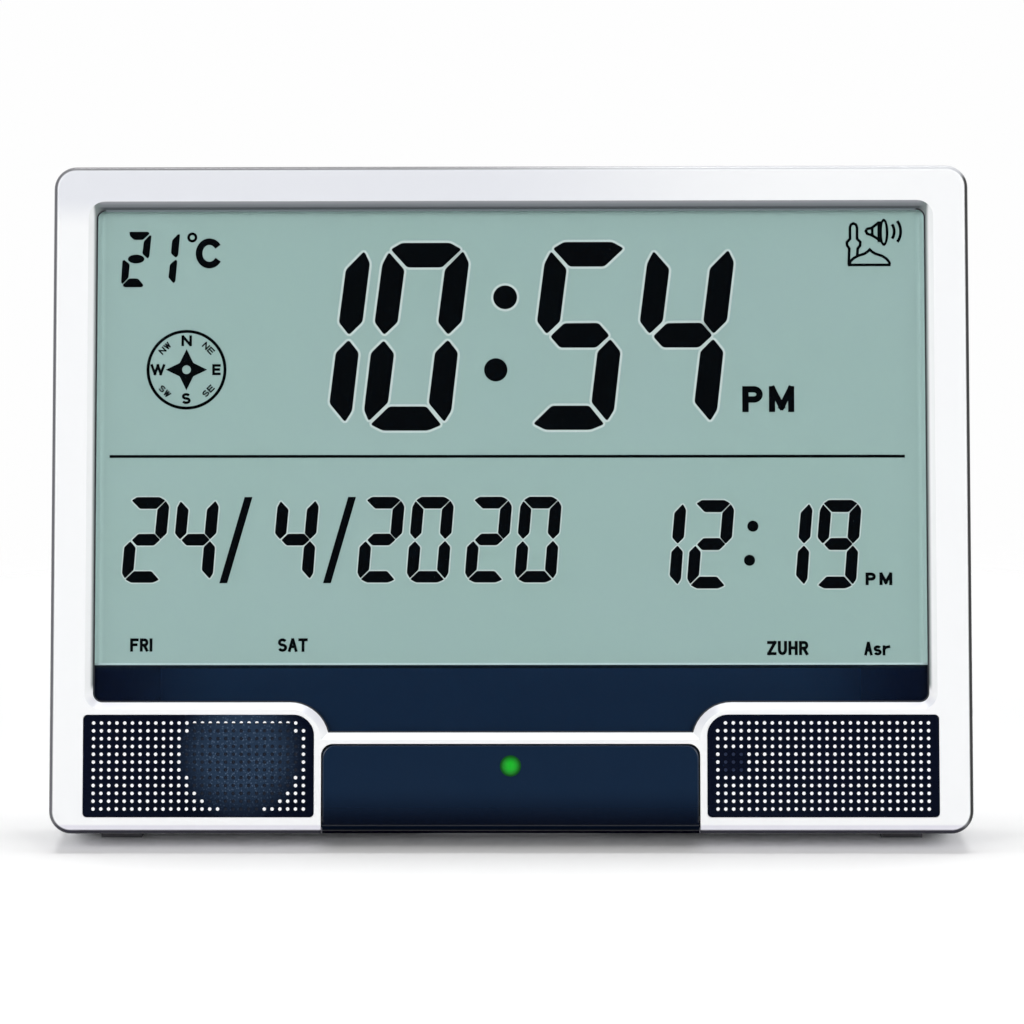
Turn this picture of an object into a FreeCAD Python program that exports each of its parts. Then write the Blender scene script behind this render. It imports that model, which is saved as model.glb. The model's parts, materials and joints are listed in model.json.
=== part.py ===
import FreeCAD, Part
import os
import re

import Sketcher

# Azan clock: a large LCD prayer-time clock that leans back on a fold-out leg.
#
# Every piece is drawn in the frame of its case: x to the right of the centre line,
# y from the front face towards the back, z up from the underside of the case.
# One placement, shared by all pieces, then leans the case back on its rubber feet.
# The finished part has z = 0 on the table, its front towards -Y, and its origin
# under the centre of its own box.

document = FreeCAD.newDocument("AzanClock")
sheet = document.addObject("Spreadsheet::Sheet", "Sizes")

SIZES = {
    # case
    "case_width": 312,
    "case_height": 227,
    "shell_depth": 13,
    "cover_depth": 19,
    "wall": 2.2,
    "face_thickness": 2.8,
    "corner_round": 7.6,
    "edge_round": 2,
    "back_round": 4,
    "lip_depth": 2,
    "lip_thickness": 1.2,
    "lip_gap": 0.15,
    "lean": 12,
    # window and what sits behind it
    "side_rail": 14.4,
    "top_rail": 14.5,
    "window_base": 44.2,
    "window_sill": 34,
    "step_reach": 74.7,
    "step_round": 13.3,
    "window_round": 3.2,
    "window_bevel": 2.4,
    "lens_thickness": 1.6,
    "lens_lap": 1.1,
    "mask_thickness": 0.3,
    "band_top": 56.8,
    "glass_thickness": 1.1,
    "glass_lap": 2,
    "ledge_height": 4,
    "reflector_thickness": 0.2,
    "holder_rim": 5,
    "holder_round": 2,
    "strip_inset": 4,
    "strip_gap": 0.5,
    # grille pods
    "pod_inner": 66.3,
    "pod_outer": 144.5,
    "pod_base": 5.5,
    "pod_top": 40.1,
    "pod_round": 6.9,
    "pod_corner": 1.5,
    "pod_depth": 1,
    "plate_thickness": 0.8,
    "plate_gap": 0.1,
    "hole_pitch": 2.63,
    "hole_size": 1.4,
    "hole_columns": 28,
    "hole_rows": 12,
    # speaker behind the left pod, sensor behind the right pod
    "speaker_x": -91.3,
    "speaker_radius": 19,
    "speaker_wall": 0.8,
    "speaker_depth": 9,
    "basket_rim": 1.6,
    "cone_gap": 0.3,
    "cone_rim": 1.2,
    "cone_depth": 4.6,
    "cone_wall": 0.6,
    "cap_radius": 6,
    "cap_rise": 1.4,
    "opening_margin": 2.2,
    "ring_gap": 0.2,
    "ring_thickness": 0.9,
    "magnet_radius": 12,
    "magnet_thickness": 7,
    "gasket_thickness": 0.8,
    "sensor_x": 75.1,
    "sensor_height": 24,
    "sensor_size": 8,
    "sensor_flange": 1.5,
    "sensor_back": 1.2,
    # flip-down key door
    "door_half": 63.5,
    "door_top": 29.75,
    "door_base": 0.9,
    "door_front": 0.2,
    "door_thickness": 2,
    "door_round": 4,
    "door_edge": 0.6,
    "door_gap": 0.5,
    "barrel_radius": 2.2,
    "hinge_pin_radius": 1.1,
    "hinge_pin_reach": 2.3,
    "notch_gap": 0.4,
    "skirt_thickness": 1.3,
    "running_gap": 0.06,
    "led_height": 22.8,
    "led_lens_radius": 3.6,
    "led_dome": 0.6,
    # keys
    "panel_front": 4.4,
    "panel_base": 5.8,
    "post_x": 57,
    "post_inner_x": 20,
    "post_height": 24,
    "post_radius": 2.6,
    "panel_thickness": 1.6,
    "key_count": 6,
    "key_pitch": 20.5,
    "key_height": 13.6,
    "key_long": 13,
    "key_tall": 6.4,
    "key_round": 1.2,
    "key_proud": 1,
    "key_gap": 0.3,
    "key_travel": 0.6,
    "key_flange": 0.9,
    "key_lip": 1,
    "key_edge": 0.4,
    "pad_thickness": 0.9,
    "pad_lap": 2,
    "dome_radius": 2.2,
    "dome_height": 1,
    "board_thickness": 1.6,
    "status_led_radius": 2.5,
    "status_led_dome": 2.2,
    # screws and bosses
    "screw_radius": 1.3,
    "screw_head_radius": 2.6,
    "screw_head_height": 1.6,
    "screw_length": 9,
    "board_bite": 4,
    "key_board_bite": 2.4,
    "screw_clearance": 0.3,
    "head_clearance": 0.4,
    "boss_radius": 3.3,
    "boss_inset": 7.2,
    "thread_gap": 0.05,
    # boards behind the glass
    "rib_width": 8,
    "rib_x": 100,
    "main_board_half": 112,
    "main_board_base": 48,
    "main_board_top": 112,
    "chip_x": -20,
    "chip_height": 80,
    "chip_size": 14,
    "chip_thickness": 1.6,
    "capacitor_radius": 4,
    "capacitor_height": 8,
    "capacitor_x": 45,
    "capacitor_pitch": 11,
    "capacitor_place": 98,
    "crystal_length": 9,
    "crystal_width": 3,
    "crystal_round": 1.3,
    # rear cover
    "post_wall": 1.4,
    "screw_seat": 3,
    "vent_count": 5,
    "vent_pitch": 5.2,
    "vent_width": 2,
    "vent_half": 13,
    "keyhole_x": 95,
    "keyhole_height": 200,
    "keyhole_radius": 4,
    "keyhole_slot": 2,
    "keyhole_rise": 8,
    "jack_x": -120,
    "jack_height": 70,
    "jack_radius": 4.5,
    "jack_bore": 3.1,
    "jack_pin": 1.05,
    "jack_depth": 9,
    "jack_body": 10,
    "jack_shoulder": 2,
    "switch_x": 120,
    "switch_height": 70,
    "switch_travel": 2,
    "switch_long": 14,
    "switch_tall": 7,
    "switch_body": 4,
    "slot_gap": 0.5,
    "knob_half": 1.6,
    "knob_rise": 0.8,
    # fold-out leg
    "stand_half": 30,
    "stand_hinge_height": 118,
    "stand_hinge_inset": 3.2,
    "stand_length": 117.4,
    "stand_thickness": 3,
    "leg_border": 9,
    "leg_round": 4,
    "leg_web": 1.6,
    "stand_gap": 0.6,
    "stand_barrel": 2.5,
    "stand_pin_radius": 1.5,
    "stand_pin_reach": 1.8,
    "stand_pad_radius": 2,
    "recess_depth": 6,
    "foot_back": 27.5,
    "foot_drop": 0.8,
    "foot_length": 7,
    "foot_width": 14,
    "foot_inset": 22,
    "foot_sink": 0.5,
    # battery bay
    "cell_radius": 7.1,
    "cell_length": 49,
    "cell_pitch": 14.9,
    "cell_nub_radius": 2.7,
    "cell_nub_height": 1.3,
    "cell_count": 3,
    "bay_x": 88,
    "bay_height": 150,
    "bay_half_long": 29,
    "bay_half_tall": 23,
    "bay_depth": 15,
    "bay_wall": 1.2,
    "bay_door_thickness": 1.8,
    "bay_door_lap": 3,
    "bay_door_gap": 0.3,
    "bay_pin_radius": 0.6,
    "bay_pin_reach": 1.5,
    "spring_radius": 4,
    "spring_wall": 0.8,
    "contact_thickness": 0.4,
    "contact_half": 5,
    "groove_pitch": 6,
    "groove_width": 1.4,
    "groove_length": 6,
    "groove_inset": 2,
    "groove_depth": 0.6,
}


def fill_sheet():
    """One row per driving size: its value in column A, under its own alias."""
    for row, (alias, number) in enumerate(SIZES.items(), start=1):
        cell = "A%d" % row
        sheet.set(cell, str(number))
        sheet.setAlias(cell, alias)
    document.recompute()


fill_sheet()

# Places and sizes that follow from the driving ones, as formulas over their names.
DERIVED = {
    "half_width": "case_width / 2",
    "case_depth": "shell_depth + cover_depth",
    "cover_inside": "case_depth - wall",
    "window_half": "half_width - side_rail",
    "window_top": "case_height - top_rail",
    "step_middle": "window_base - step_round",
    "lens_front": "face_thickness",
    "mask_front": "lens_front + lens_thickness",
    "glass_front": "mask_front + mask_thickness",
    "glass_half": "window_half + glass_lap",
    "glass_top": "window_top + glass_lap",
    "glass_base": "band_top - ledge_height",
    "reflector_front": "glass_front + 2 * glass_thickness",
    "holder_front": "reflector_front + reflector_thickness",
    "board_front": "shell_depth",
    "board_back": "board_front + board_thickness",
    "plate_front": "pod_depth - plate_thickness",
    "hole_start_x": "(pod_outer - pod_inner - (hole_columns - 1) * hole_pitch) / 2",
    "hole_start_z": "(pod_top - pod_base - (hole_rows - 1) * hole_pitch) / 2",
    "hinge_y": "door_front + barrel_radius",
    "hinge_z": "door_base + barrel_radius",
    "opening_half": "door_half + door_gap",
    "opening_top": "door_top + door_gap",
    "panel_back": "panel_front + panel_thickness",
    "flange_front": "panel_back + thread_gap",
    "flange_back": "flange_front + key_flange",
    "dome_front": "flange_back + key_travel + thread_gap * 2",
    "pad_front": "dome_front + dome_height",
    "key_board_front": "pad_front + pad_thickness",
    "key_board_back": "key_board_front + board_thickness",
    "speaker_height": "(pod_base + pod_top) / 2",
    "opening_half_tall": "(pod_top - pod_base) / 2 - opening_margin",
    "gasket_front": "face_thickness",
    "speaker_front": "gasket_front + gasket_thickness",
    "speaker_back": "speaker_front + speaker_depth",
    "recess_floor": "case_depth - recess_depth",
    "recess_half": "stand_half + stand_gap",
    "recess_top": "stand_hinge_height + stand_barrel + stand_gap",
    "stand_axis_y": "case_depth - stand_hinge_inset",
    "stand_rise": "stand_hinge_height * cos(lean) - stand_axis_y * sin(lean) + shift_up",
    "stand_open": "lean + acos((stand_rise - stand_pad_radius) / (stand_length - stand_pad_radius)) / 1deg",
    "shift_up": "foot_back * sin(lean) + foot_drop * cos(lean)",
    "front_reach": "edge_round * (cos(lean) + sin(lean) - 1)",
    "back_top": "(case_height - back_round) * sin(lean)",
    "back_reach": "(case_depth - back_round) * cos(lean) + back_top + back_round",
    "bay_door_front": "case_depth - bay_door_thickness",
    "bay_front": "bay_door_front - bay_depth",
    "bay_axis_y": "bay_door_front + bay_door_thickness / 2",
    "bay_axis_z": "bay_height - bay_half_tall - bay_door_lap + bay_door_gap + bay_door_thickness / 2",
    "cell_y": "bay_front + bay_depth / 2",
}


def formula(text):
    """Write a formula over size names as an expression over the sheet's cells."""
    def expand(match):
        word = match.group(0)
        if word in DERIVED:
            return "(%s)" % formula(DERIVED[word])
        return "Sizes.%s" % word if word in SIZES else word
    return re.sub(r"[a-z][a-z_]*", expand, text)


def size(text):
    """The present value of a formula, in mm or degrees."""
    return float(sheet.evalExpression(formula(text)))


# ---------------------------------------------------------------------------
# Drawing helpers: bodies, outlines, pads, pockets and rounds
# ---------------------------------------------------------------------------

def new_body(name, turn="0", axis_y="0", axis_z="0"):
    """One piece of the clock, laid back with the case.

    A piece that is drawn about its own hinge names the hinge's place in the case
    and the angle that it is turned open.
    """
    body = document.addObject("PartDesign::Body", name)
    body.Label = name
    body.Placement.Rotation = FreeCAD.Rotation(FreeCAD.Vector(1, 0, 0), 1)
    leaned_y = "(%s) * cos(lean) + (%s) * sin(lean) - (front_reach + back_reach) / 2" % (axis_y, axis_z)
    leaned_z = "(%s) * cos(lean) - (%s) * sin(lean) + shift_up" % (axis_z, axis_y)
    body.setExpression("Placement.Rotation.Angle", formula("%s - lean" % turn))
    body.setExpression("Placement.Base.y", formula(leaned_y))
    body.setExpression("Placement.Base.z", formula(leaned_z))
    return body


NORMALS = {"XZ_Plane": -1, "YZ_Plane": 1, "XY_Plane": 1}


def origin_feature(body, role):
    return next(item for item in body.Origin.OriginFeatures if item.Role == role)


def new_sketch(body, role, start):
    """A sketch on an origin plane of the body, moved along its normal to start."""
    sketch = body.newObject("Sketcher::SketchObject", body.Name + "_sketch")
    sketch.AttachmentSupport = [(origin_feature(body, role), "")]
    sketch.MapMode = "FlatFace"
    sketch.setExpression("AttachmentOffset.Base.z", formula("%d * (%s)" % (NORMALS[role], start)))
    return sketch


def arc_between(first, last, radius, turn):
    """Circular arc from first to last; turn is 1 for counter-clockwise, -1 for clockwise."""
    half = (last - first) * 0.5
    rise = max(radius ** 2 - half.Length ** 2, 0.0) ** 0.5
    sideways = FreeCAD.Vector(-half.y, half.x, 0).normalize()
    centre = first + half + sideways * rise * turn
    ends = (first, last) if turn > 0 else (last, first)
    circle = Part.Circle(centre, FreeCAD.Vector(0, 0, 1), radius)
    return Part.ArcOfCircle(circle, circle.parameter(ends[0]), circle.parameter(ends[1]))


def draw_loop(sketch, edges):
    """Draw a closed loop and return its rules, which place every corner by formulas.

    Each edge is (x, y) of its start, or (x, y, radius, turn) where it is an arc.
    """
    points = [FreeCAD.Vector(size(edge[0]), size(edge[1]), 0) for edge in edges]
    drawn = []
    rules = []
    for index, edge in enumerate(edges):
        first, last = points[index], points[(index + 1) % len(edges)]
        if len(edge) == 4:
            number = sketch.addGeometry(arc_between(first, last, size(edge[2]), edge[3]))
            rules.append(("Radius", (number,), edge[2]))
            drawn.append((number, 1, 2) if edge[3] > 0 else (number, 2, 1))
        else:
            number = sketch.addGeometry(Part.LineSegment(first, last))
            drawn.append((number, 1, 2))
    for index, (number, start, end) in enumerate(drawn):
        following = drawn[(index + 1) % len(drawn)]
        rules.append(("Coincident", (number, end, following[0], following[1]), None))
        rules.append(("DistanceX", (-1, 1, number, start), edges[index][0]))
        rules.append(("DistanceY", (-1, 1, number, start), edges[index][1]))
    return rules


def draw_circle(sketch, x, y, radius):
    middle = FreeCAD.Vector(size(x), size(y), 0)
    number = sketch.addGeometry(Part.Circle(middle, FreeCAD.Vector(0, 0, 1), size(radius)))
    return [("DistanceX", (-1, 1, number, 3), x), ("DistanceY", (-1, 1, number, 3), y),
            ("Radius", (number,), radius)]


def bind(sketch, rules):
    """Add all rules of a sketch in one go, then tie the sizes among them to the sheet."""
    first = len(sketch.Constraints)
    sketch.addConstraint([Sketcher.Constraint(kind, *places, *([] if text is None else [size(text)]))
                          for kind, places, text in rules])
    for number, (kind, places, text) in enumerate(rules, start=first):
        if text is not None:
            sketch.setExpression("Constraints[%d]" % number, formula(text))


def rounded(corners):
    """Edges of an outline from its corners (x, y, radius), where radius may be None.

    A corner with a radius is a right angle. A corner that carries a turn as well is
    the start of an arc that is already complete.
    """
    places = [FreeCAD.Vector(size(corner[0]), size(corner[1]), 0) for corner in corners]
    edges = []
    for index, corner in enumerate(corners):
        x, y, radius = corner[:3]
        if radius is None or len(corner) == 4:
            edges.append(corner if len(corner) == 4 else (x, y))
            continue
        before = (places[index] - places[index - 1]).normalize()
        after = (places[(index + 1) % len(places)] - places[index]).normalize()
        turn = 1 if before.cross(after).z > 0 else -1
        entry = tuple("%s - (%s) * %d" % (text, radius, round(step))
                      for text, step in ((x, before.x), (y, before.y)))
        leave = tuple("%s + (%s) * %d" % (text, radius, round(step))
                      for text, step in ((x, after.x), (y, after.y)))
        edges.append(entry + (radius, turn))
        edges.append(leave)
    return edges


def rectangle(left, right, low, high, radius=None, top_radius=None):
    top = top_radius or radius
    return rounded([(left, low, radius), (right, low, radius), (right, high, top), (left, high, top)])


def draw(sketch, loops):
    """Draw every loop: a list of edges, or a circle given as (x, y, radius)."""
    rules = []
    for loop in loops:
        rules += draw_circle(sketch, *loop) if isinstance(loop, tuple) else draw_loop(sketch, loop)
    bind(sketch, rules)


def add(body, loops, start, length, role="XZ_Plane"):
    """Pad the loops from start towards the back, the right or the top."""
    sketch = new_sketch(body, role, start)
    draw(sketch, loops)
    feature = body.newObject("PartDesign::Pad", body.Name + "_pad")
    feature.Profile = sketch
    feature.setExpression("Length", formula(length))
    feature.Reversed = role == "XZ_Plane"
    return feature


def cut(body, loops, start, length, role="XZ_Plane"):
    """Pocket the loops from start towards the back, the right or the top."""
    sketch = new_sketch(body, role, start)
    draw(sketch, loops)
    feature = body.newObject("PartDesign::Pocket", body.Name + "_pocket")
    feature.Profile = sketch
    feature.setExpression("Length", formula(length))
    feature.Reversed = role != "XZ_Plane"
    return feature


def turn_about(body, profile, x, height):
    """Revolve a profile of (depth, radius) corners about an axis that runs front to back."""
    sketch = new_sketch(body, "YZ_Plane", x)
    rules = draw_loop(sketch, [(depth, "%s + %s" % (height, radius)) for depth, radius in profile])
    ends = (FreeCAD.Vector(0, size(height), 0), FreeCAD.Vector(1, size(height), 0))
    axis = sketch.addGeometry(Part.LineSegment(*ends), True)
    rules.append(("Horizontal", (axis,), None))
    for kind, place, text in (("DistanceX", 1, "0"), ("DistanceX", 2, "1"), ("DistanceY", 1, height)):
        rules.append((kind, (-1, 1, axis, place), text))
    bind(sketch, rules)
    feature = body.newObject("PartDesign::Revolution", body.Name + "_turned")
    feature.Profile = sketch
    feature.ReferenceAxis = (sketch, ["Axis0"])
    feature.Angle = 360
    return feature


def soften(body, kind, amount, chosen):
    """Fillet or chamfer the edges of the body that the chosen test picks."""
    document.recompute()
    tip = body.Tip
    names = ["Edge%d" % number for number, edge in enumerate(tip.Shape.Edges, start=1) if chosen(edge)]
    feature = body.newObject("PartDesign::" + kind, body.Name + "_soft")
    feature.Base = (tip, names)
    feature.setExpression("Radius" if kind == "Fillet" else "Size", formula(amount))
    return feature


def lies_at_depth(depth, window=None):
    """A test for edges that lie wholly at one depth, optionally inside x and z limits."""
    level = size(depth)

    def test(edge):
        box = edge.BoundBox
        flat = abs(box.YMin - level) < 0.01 and abs(box.YMax - level) < 0.01
        if window is None or not flat:
            return flat
        low_x, high_x, low_z, high_z = (size(text) for text in window)
        return box.XMin > low_x and box.XMax < high_x and box.ZMin > low_z and box.ZMax < high_z
    return test


def mirrored(x_texts):
    """Each place and its mirror image on the other side of the centre line."""
    return [text for x in x_texts for text in ("-1 * (%s)" % x, x)]


# ---------------------------------------------------------------------------
# Front bezel, window and display
# ---------------------------------------------------------------------------

def window_outline(grow, top="window_top", top_round="window_round"):
    """The window with its stepped lower edge, grown outwards by the given amount."""
    side = "window_half + %s" % grow
    base = "window_base - %s" % grow
    sill = "window_sill - %s" % grow
    swing = "step_round - %s" % grow
    sill_x = "step_reach - sqrt((%s)^2 - (%s - step_middle)^2)" % (swing, sill)
    lift = "%s + %s" % (top, grow if top == "window_top" else "0")
    corner = "window_round + %s" % grow
    upper = corner if top_round else None
    return rounded([
        ("-1 * (%s)" % side, base, corner),
        ("-1 * step_reach", base, swing, -1),
        ("-1 * (%s)" % sill_x, sill, None),
        (sill_x, sill, swing, -1),
        ("step_reach", base, None),
        (side, base, corner),
        (side, lift, upper),
        ("-1 * (%s)" % side, lift, upper),
    ])


def case_outline(inset):
    """The outline of the case, drawn inside it by the given amount."""
    return rectangle("-half_width + %s" % inset, "half_width - (%s)" % inset, inset,
                     "case_height - (%s)" % inset, "corner_round - (%s)" % inset)


def pod_outline(side, gap):
    """A grille pod, rounded most at its upper corner nearest the middle."""
    inner, outer = ("pod_inner + %s" % gap, "pod_outer - %s" % gap)
    low, high = ("pod_base + %s" % gap, "pod_top - %s" % gap)
    small, large = ("pod_corner", "pod_round")
    if side > 0:
        return rounded([(inner, low, small), (outer, low, small), (outer, high, small), (inner, high, large)])
    inner, outer = ("-1 * (%s)" % inner, "-1 * (%s)" % outer)
    return rounded([(outer, low, small), (inner, low, small), (inner, high, large), (outer, high, small)])


def boss_places():
    """The four case screws, one in each corner."""
    heights = ("boss_inset", "case_height - boss_inset")
    return [(x, z) for z in heights for x in mirrored(["half_width - boss_inset"])]


def speaker_opening():
    """A round opening cut flat above and below, so that it stays inside its pod."""
    flat = "sqrt((speaker_radius - ring_thickness)^2 - opening_half_tall^2)"
    left, right = ("speaker_x - %s" % flat, "speaker_x + %s" % flat)
    low, high = ("speaker_height - opening_half_tall", "speaker_height + opening_half_tall")
    swing = "speaker_radius - ring_thickness"
    return [(left, low), (right, low, swing, 1), (right, high), (left, high, swing, 1)]


def sensor_square(grow):
    half = "sensor_size / 2 + %s" % grow
    return rectangle("sensor_x - (%s)" % half, "sensor_x + %s" % half,
                     "sensor_height - (%s)" % half, "sensor_height + %s" % half)


def make_front_bezel():
    body = new_body("front_bezel")
    add(body, [case_outline("0")], "0", "shell_depth")
    soften(body, "Fillet", "edge_round", lies_at_depth("0"))
    cut(body, [case_outline("wall")], "face_thickness", "shell_depth - face_thickness + 1")
    cut(body, [window_outline("0")], "-1", "face_thickness + 2")
    inner = ("-half_width + side_rail - 1", "half_width - side_rail + 1", "window_sill - 1", "window_top + 1")
    soften(body, "Chamfer", "window_bevel", lies_at_depth("0", inner))
    cut(body, [pod_outline(-1, "0"), pod_outline(1, "0")], "-1", "pod_depth + 1")
    cut(body, [speaker_opening(), sensor_square("plate_gap")], "pod_depth - 0.5", "face_thickness")
    make_door_opening(body)
    add(body, [("speaker_x", "speaker_height", "speaker_radius + ring_gap + ring_thickness"),
               ("speaker_x", "speaker_height", "speaker_radius + ring_gap")],
        "face_thickness - 0.2", "gasket_thickness + 1.8")
    add(body, [(x, z, "boss_radius") for x, z in boss_places()], "face_thickness - 0.2",
        "shell_depth - face_thickness + 0.2")
    cut(body, [(x, z, "screw_radius + thread_gap") for x, z in boss_places()],
        "face_thickness + 1", "shell_depth")
    return body


def make_door_opening(body):
    """The opening for the key door: its well, its notch in the underside and its hinge sockets."""
    add(body, [rounded([
        ("-1 * (opening_half + skirt_thickness)", "wall - 0.2", None),
        ("-1 * opening_half", "wall - 0.2", None),
        ("-1 * opening_half", "opening_top", "door_round"),
        ("opening_half", "opening_top", "door_round"),
        ("opening_half", "wall - 0.2", None),
        ("opening_half + skirt_thickness", "wall - 0.2", None),
        ("opening_half + skirt_thickness", "opening_top + skirt_thickness", "door_round"),
        ("-1 * (opening_half + skirt_thickness)", "opening_top + skirt_thickness", "door_round"),
    ])], "face_thickness - 0.2", "panel_front - face_thickness + 0.2")
    ear_half = "hinge_pin_reach + skirt_thickness"
    for left in ("-1 * (opening_half + %s)" % ear_half, "opening_half"):
        right = "%s + %s" % (left, ear_half)
        add(body, [rectangle(left, right, "wall - 0.2", "hinge_z + barrel_radius")],
            "face_thickness - 0.2", "panel_front - face_thickness + 0.2")
    cut(body, [rectangle("-1 * opening_half", "opening_half", "-1", "opening_top", None, "door_round")],
        "-1", "face_thickness + 1")
    cut(body, [rectangle("-1 * opening_half", "opening_half", "-1", "wall + 0.1")],
        "-1", "hinge_y + barrel_radius + notch_gap + 1")
    socket_reach = "opening_half + hinge_pin_reach"
    cut(body, [("hinge_y", "hinge_z", "hinge_pin_radius + running_gap")],
        "-1 * (%s)" % socket_reach, "2 * (%s)" % socket_reach, "YZ_Plane")


def make_display():
    lens = new_body("display_lens")
    add(lens, [window_outline("lens_lap")], "lens_front", "lens_thickness")
    mask = new_body("navy_mask")
    add(mask, [window_outline("lens_lap", "band_top", None)], "mask_front", "mask_thickness")
    glass = new_body("lcd_panel")
    add(glass, [rectangle("-1 * glass_half", "glass_half", "glass_base", "glass_top")],
        "glass_front", "glass_thickness")
    add(glass, [rectangle("-1 * glass_half", "glass_half", "band_top", "glass_top")],
        "glass_front + glass_thickness", "glass_thickness")
    sheet_back = new_body("reflector_sheet")
    add(sheet_back, [rectangle("-1 * glass_half", "glass_half", "band_top", "glass_top")],
        "reflector_front", "reflector_thickness")
    zebra = new_body("zebra_strip")
    strip_half = "main_board_half - strip_inset"
    add(zebra, [rectangle("-1 * (%s)" % strip_half, strip_half, "glass_base + strip_gap",
                          "band_top - strip_gap")],
        "glass_front + glass_thickness", "board_front - glass_front - glass_thickness")
    holder = new_body("lcd_holder")
    low, high = ("band_top + holder_rim", "glass_top - holder_rim")
    half = "glass_half - holder_rim"
    rib_in, rib_out = ("rib_x - rib_width / 2", "rib_x + rib_width / 2")
    add(holder, [rectangle("-1 * glass_half", "glass_half", "band_top", "glass_top"),
                 rectangle("-1 * (%s)" % half, "-1 * (%s)" % rib_out, low, high, "holder_round"),
                 rectangle("-1 * (%s)" % rib_in, rib_in, low, high, "holder_round"),
                 rectangle(rib_out, half, low, high, "holder_round")],
        "holder_front", "board_front - holder_front")
    cut(holder, [(x, z, "screw_radius + thread_gap") for x, z in board_screws()],
        "holder_front + 1", "board_front")


def board_screws():
    return [(x, z) for z in ("band_top + holder_rim / 2", "main_board_top - holder_rim")
            for x in mirrored(["rib_x"])]


def screw_group(name, places, seat, reach):
    """Pan-head screws that point to the front: heads behind seat, shanks reach in front of it."""
    body = new_body(name)
    add(body, [(x, z, "screw_radius") for x, z in places], "%s - (%s)" % (seat, reach), reach)
    add(body, [(x, z, "screw_head_radius") for x, z in places], seat, "screw_head_height")
    body.AllowCompound = True
    return body


def make_boards():
    board = new_body("main_pcb")
    add(board, [rectangle("-1 * main_board_half", "main_board_half", "main_board_base", "main_board_top")],
        "board_front", "board_thickness")
    cut(board, [(x, z, "screw_radius + thread_gap") for x, z in board_screws()], "board_front - 1",
        "board_thickness + 2")
    screw_group("main_pcb_screws", board_screws(), "board_back", "board_thickness + board_bite")
    chip = new_body("main_chip")
    add(chip, [rectangle("chip_x - chip_size / 2", "chip_x + chip_size / 2", "chip_height - chip_size / 2",
                         "chip_height + chip_size / 2")], "board_back", "chip_thickness")
    cans = new_body("capacitors")
    add(cans, [("capacitor_x", "capacitor_place", "capacitor_radius"),
               ("capacitor_x + capacitor_pitch", "capacitor_place", "capacitor_radius")],
        "board_back", "capacitor_height")
    crystal = new_body("clock_crystal")
    add(crystal, [rectangle("chip_x + chip_size", "chip_x + chip_size + crystal_length", "chip_height",
                            "chip_height + crystal_width", "crystal_round")], "board_back", "crystal_width")


# ---------------------------------------------------------------------------
# Grilles, speaker and sensor
# ---------------------------------------------------------------------------

def make_grille(name, side):
    """A thin pod plate with columns of square holes; the column nearest the middle has one hole fewer."""
    body = new_body(name)
    add(body, [pod_outline(side, "plate_gap")], "plate_front", "plate_thickness")
    column = cut_column(body, "%d * (pod_outer - hole_start_x)" % side, "hole_rows")
    columns = document.addObject("PartDesign::LinearPattern", body.Name + "_columns")
    body.addObject(columns)
    columns.Originals = [column]
    columns.Direction = (origin_feature(body, "X_Axis"), [""])
    columns.Reversed = side > 0
    columns.Occurrences = int(size("hole_columns")) - 1
    columns.setExpression("Occurrences", formula("hole_columns - 1"))
    columns.setExpression("Length", formula("(hole_columns - 2) * hole_pitch"))
    body.Tip = columns
    cut_column(body, "%d * (pod_inner + hole_start_x)" % side, "hole_rows - 1")


def cut_column(body, x, rows):
    """A column of square holes, from the lowest row upwards."""
    half = "hole_size / 2"
    holes = []
    for row in range(int(size(rows))):
        z = "pod_base + hole_start_z + %d * hole_pitch" % row
        holes.append(rectangle("%s - %s" % (x, half), "%s + %s" % (x, half),
                               "%s - %s" % (z, half), "%s + %s" % (z, half)))
    return cut(body, holes, "plate_front", "plate_thickness")


def make_speaker():
    gasket = new_body("speaker_gasket")
    add(gasket, [("speaker_x", "speaker_height", "speaker_radius"),
                 ("speaker_x", "speaker_height", "speaker_radius - ring_thickness")],
        "gasket_front", "gasket_thickness")
    basket = new_body("speaker_basket")
    seat, throat = ("speaker_radius - basket_rim", "magnet_radius")
    turn_about(basket, [
        ("speaker_front", "speaker_radius"), ("speaker_front + speaker_wall", "speaker_radius"),
        ("speaker_front + speaker_wall", seat), ("speaker_back", throat), ("speaker_back", "0"),
        ("speaker_back - speaker_wall", "0"), ("speaker_back - speaker_wall", "%s - speaker_wall" % throat),
        ("speaker_front", "%s - speaker_wall" % seat)], "speaker_x", "speaker_height")
    cone = new_body("speaker_cone")
    edge = "speaker_radius - basket_rim - speaker_wall - cone_gap"
    turn_about(cone, [
        ("speaker_front", edge), ("speaker_front + cone_depth", "cap_radius"),
        ("speaker_front + cone_depth - cap_rise", "0"),
        ("speaker_front + cone_depth - cap_rise - cone_wall", "0"),
        ("speaker_front + cone_depth - cone_wall", "cap_radius"), ("speaker_front", "%s - cone_rim" % edge)],
        "speaker_x", "speaker_height")
    magnet = new_body("speaker_magnet")
    add(magnet, [("speaker_x", "speaker_height", "magnet_radius")], "speaker_back", "magnet_thickness")


def make_sensor():
    body = new_body("temperature_sensor")
    add(body, [sensor_square("0")], "pod_depth + thread_gap", "face_thickness - pod_depth")
    add(body, [sensor_square("sensor_flange")], "face_thickness", "sensor_back")


# ---------------------------------------------------------------------------
# Key door and the keys behind it
# ---------------------------------------------------------------------------

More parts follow.
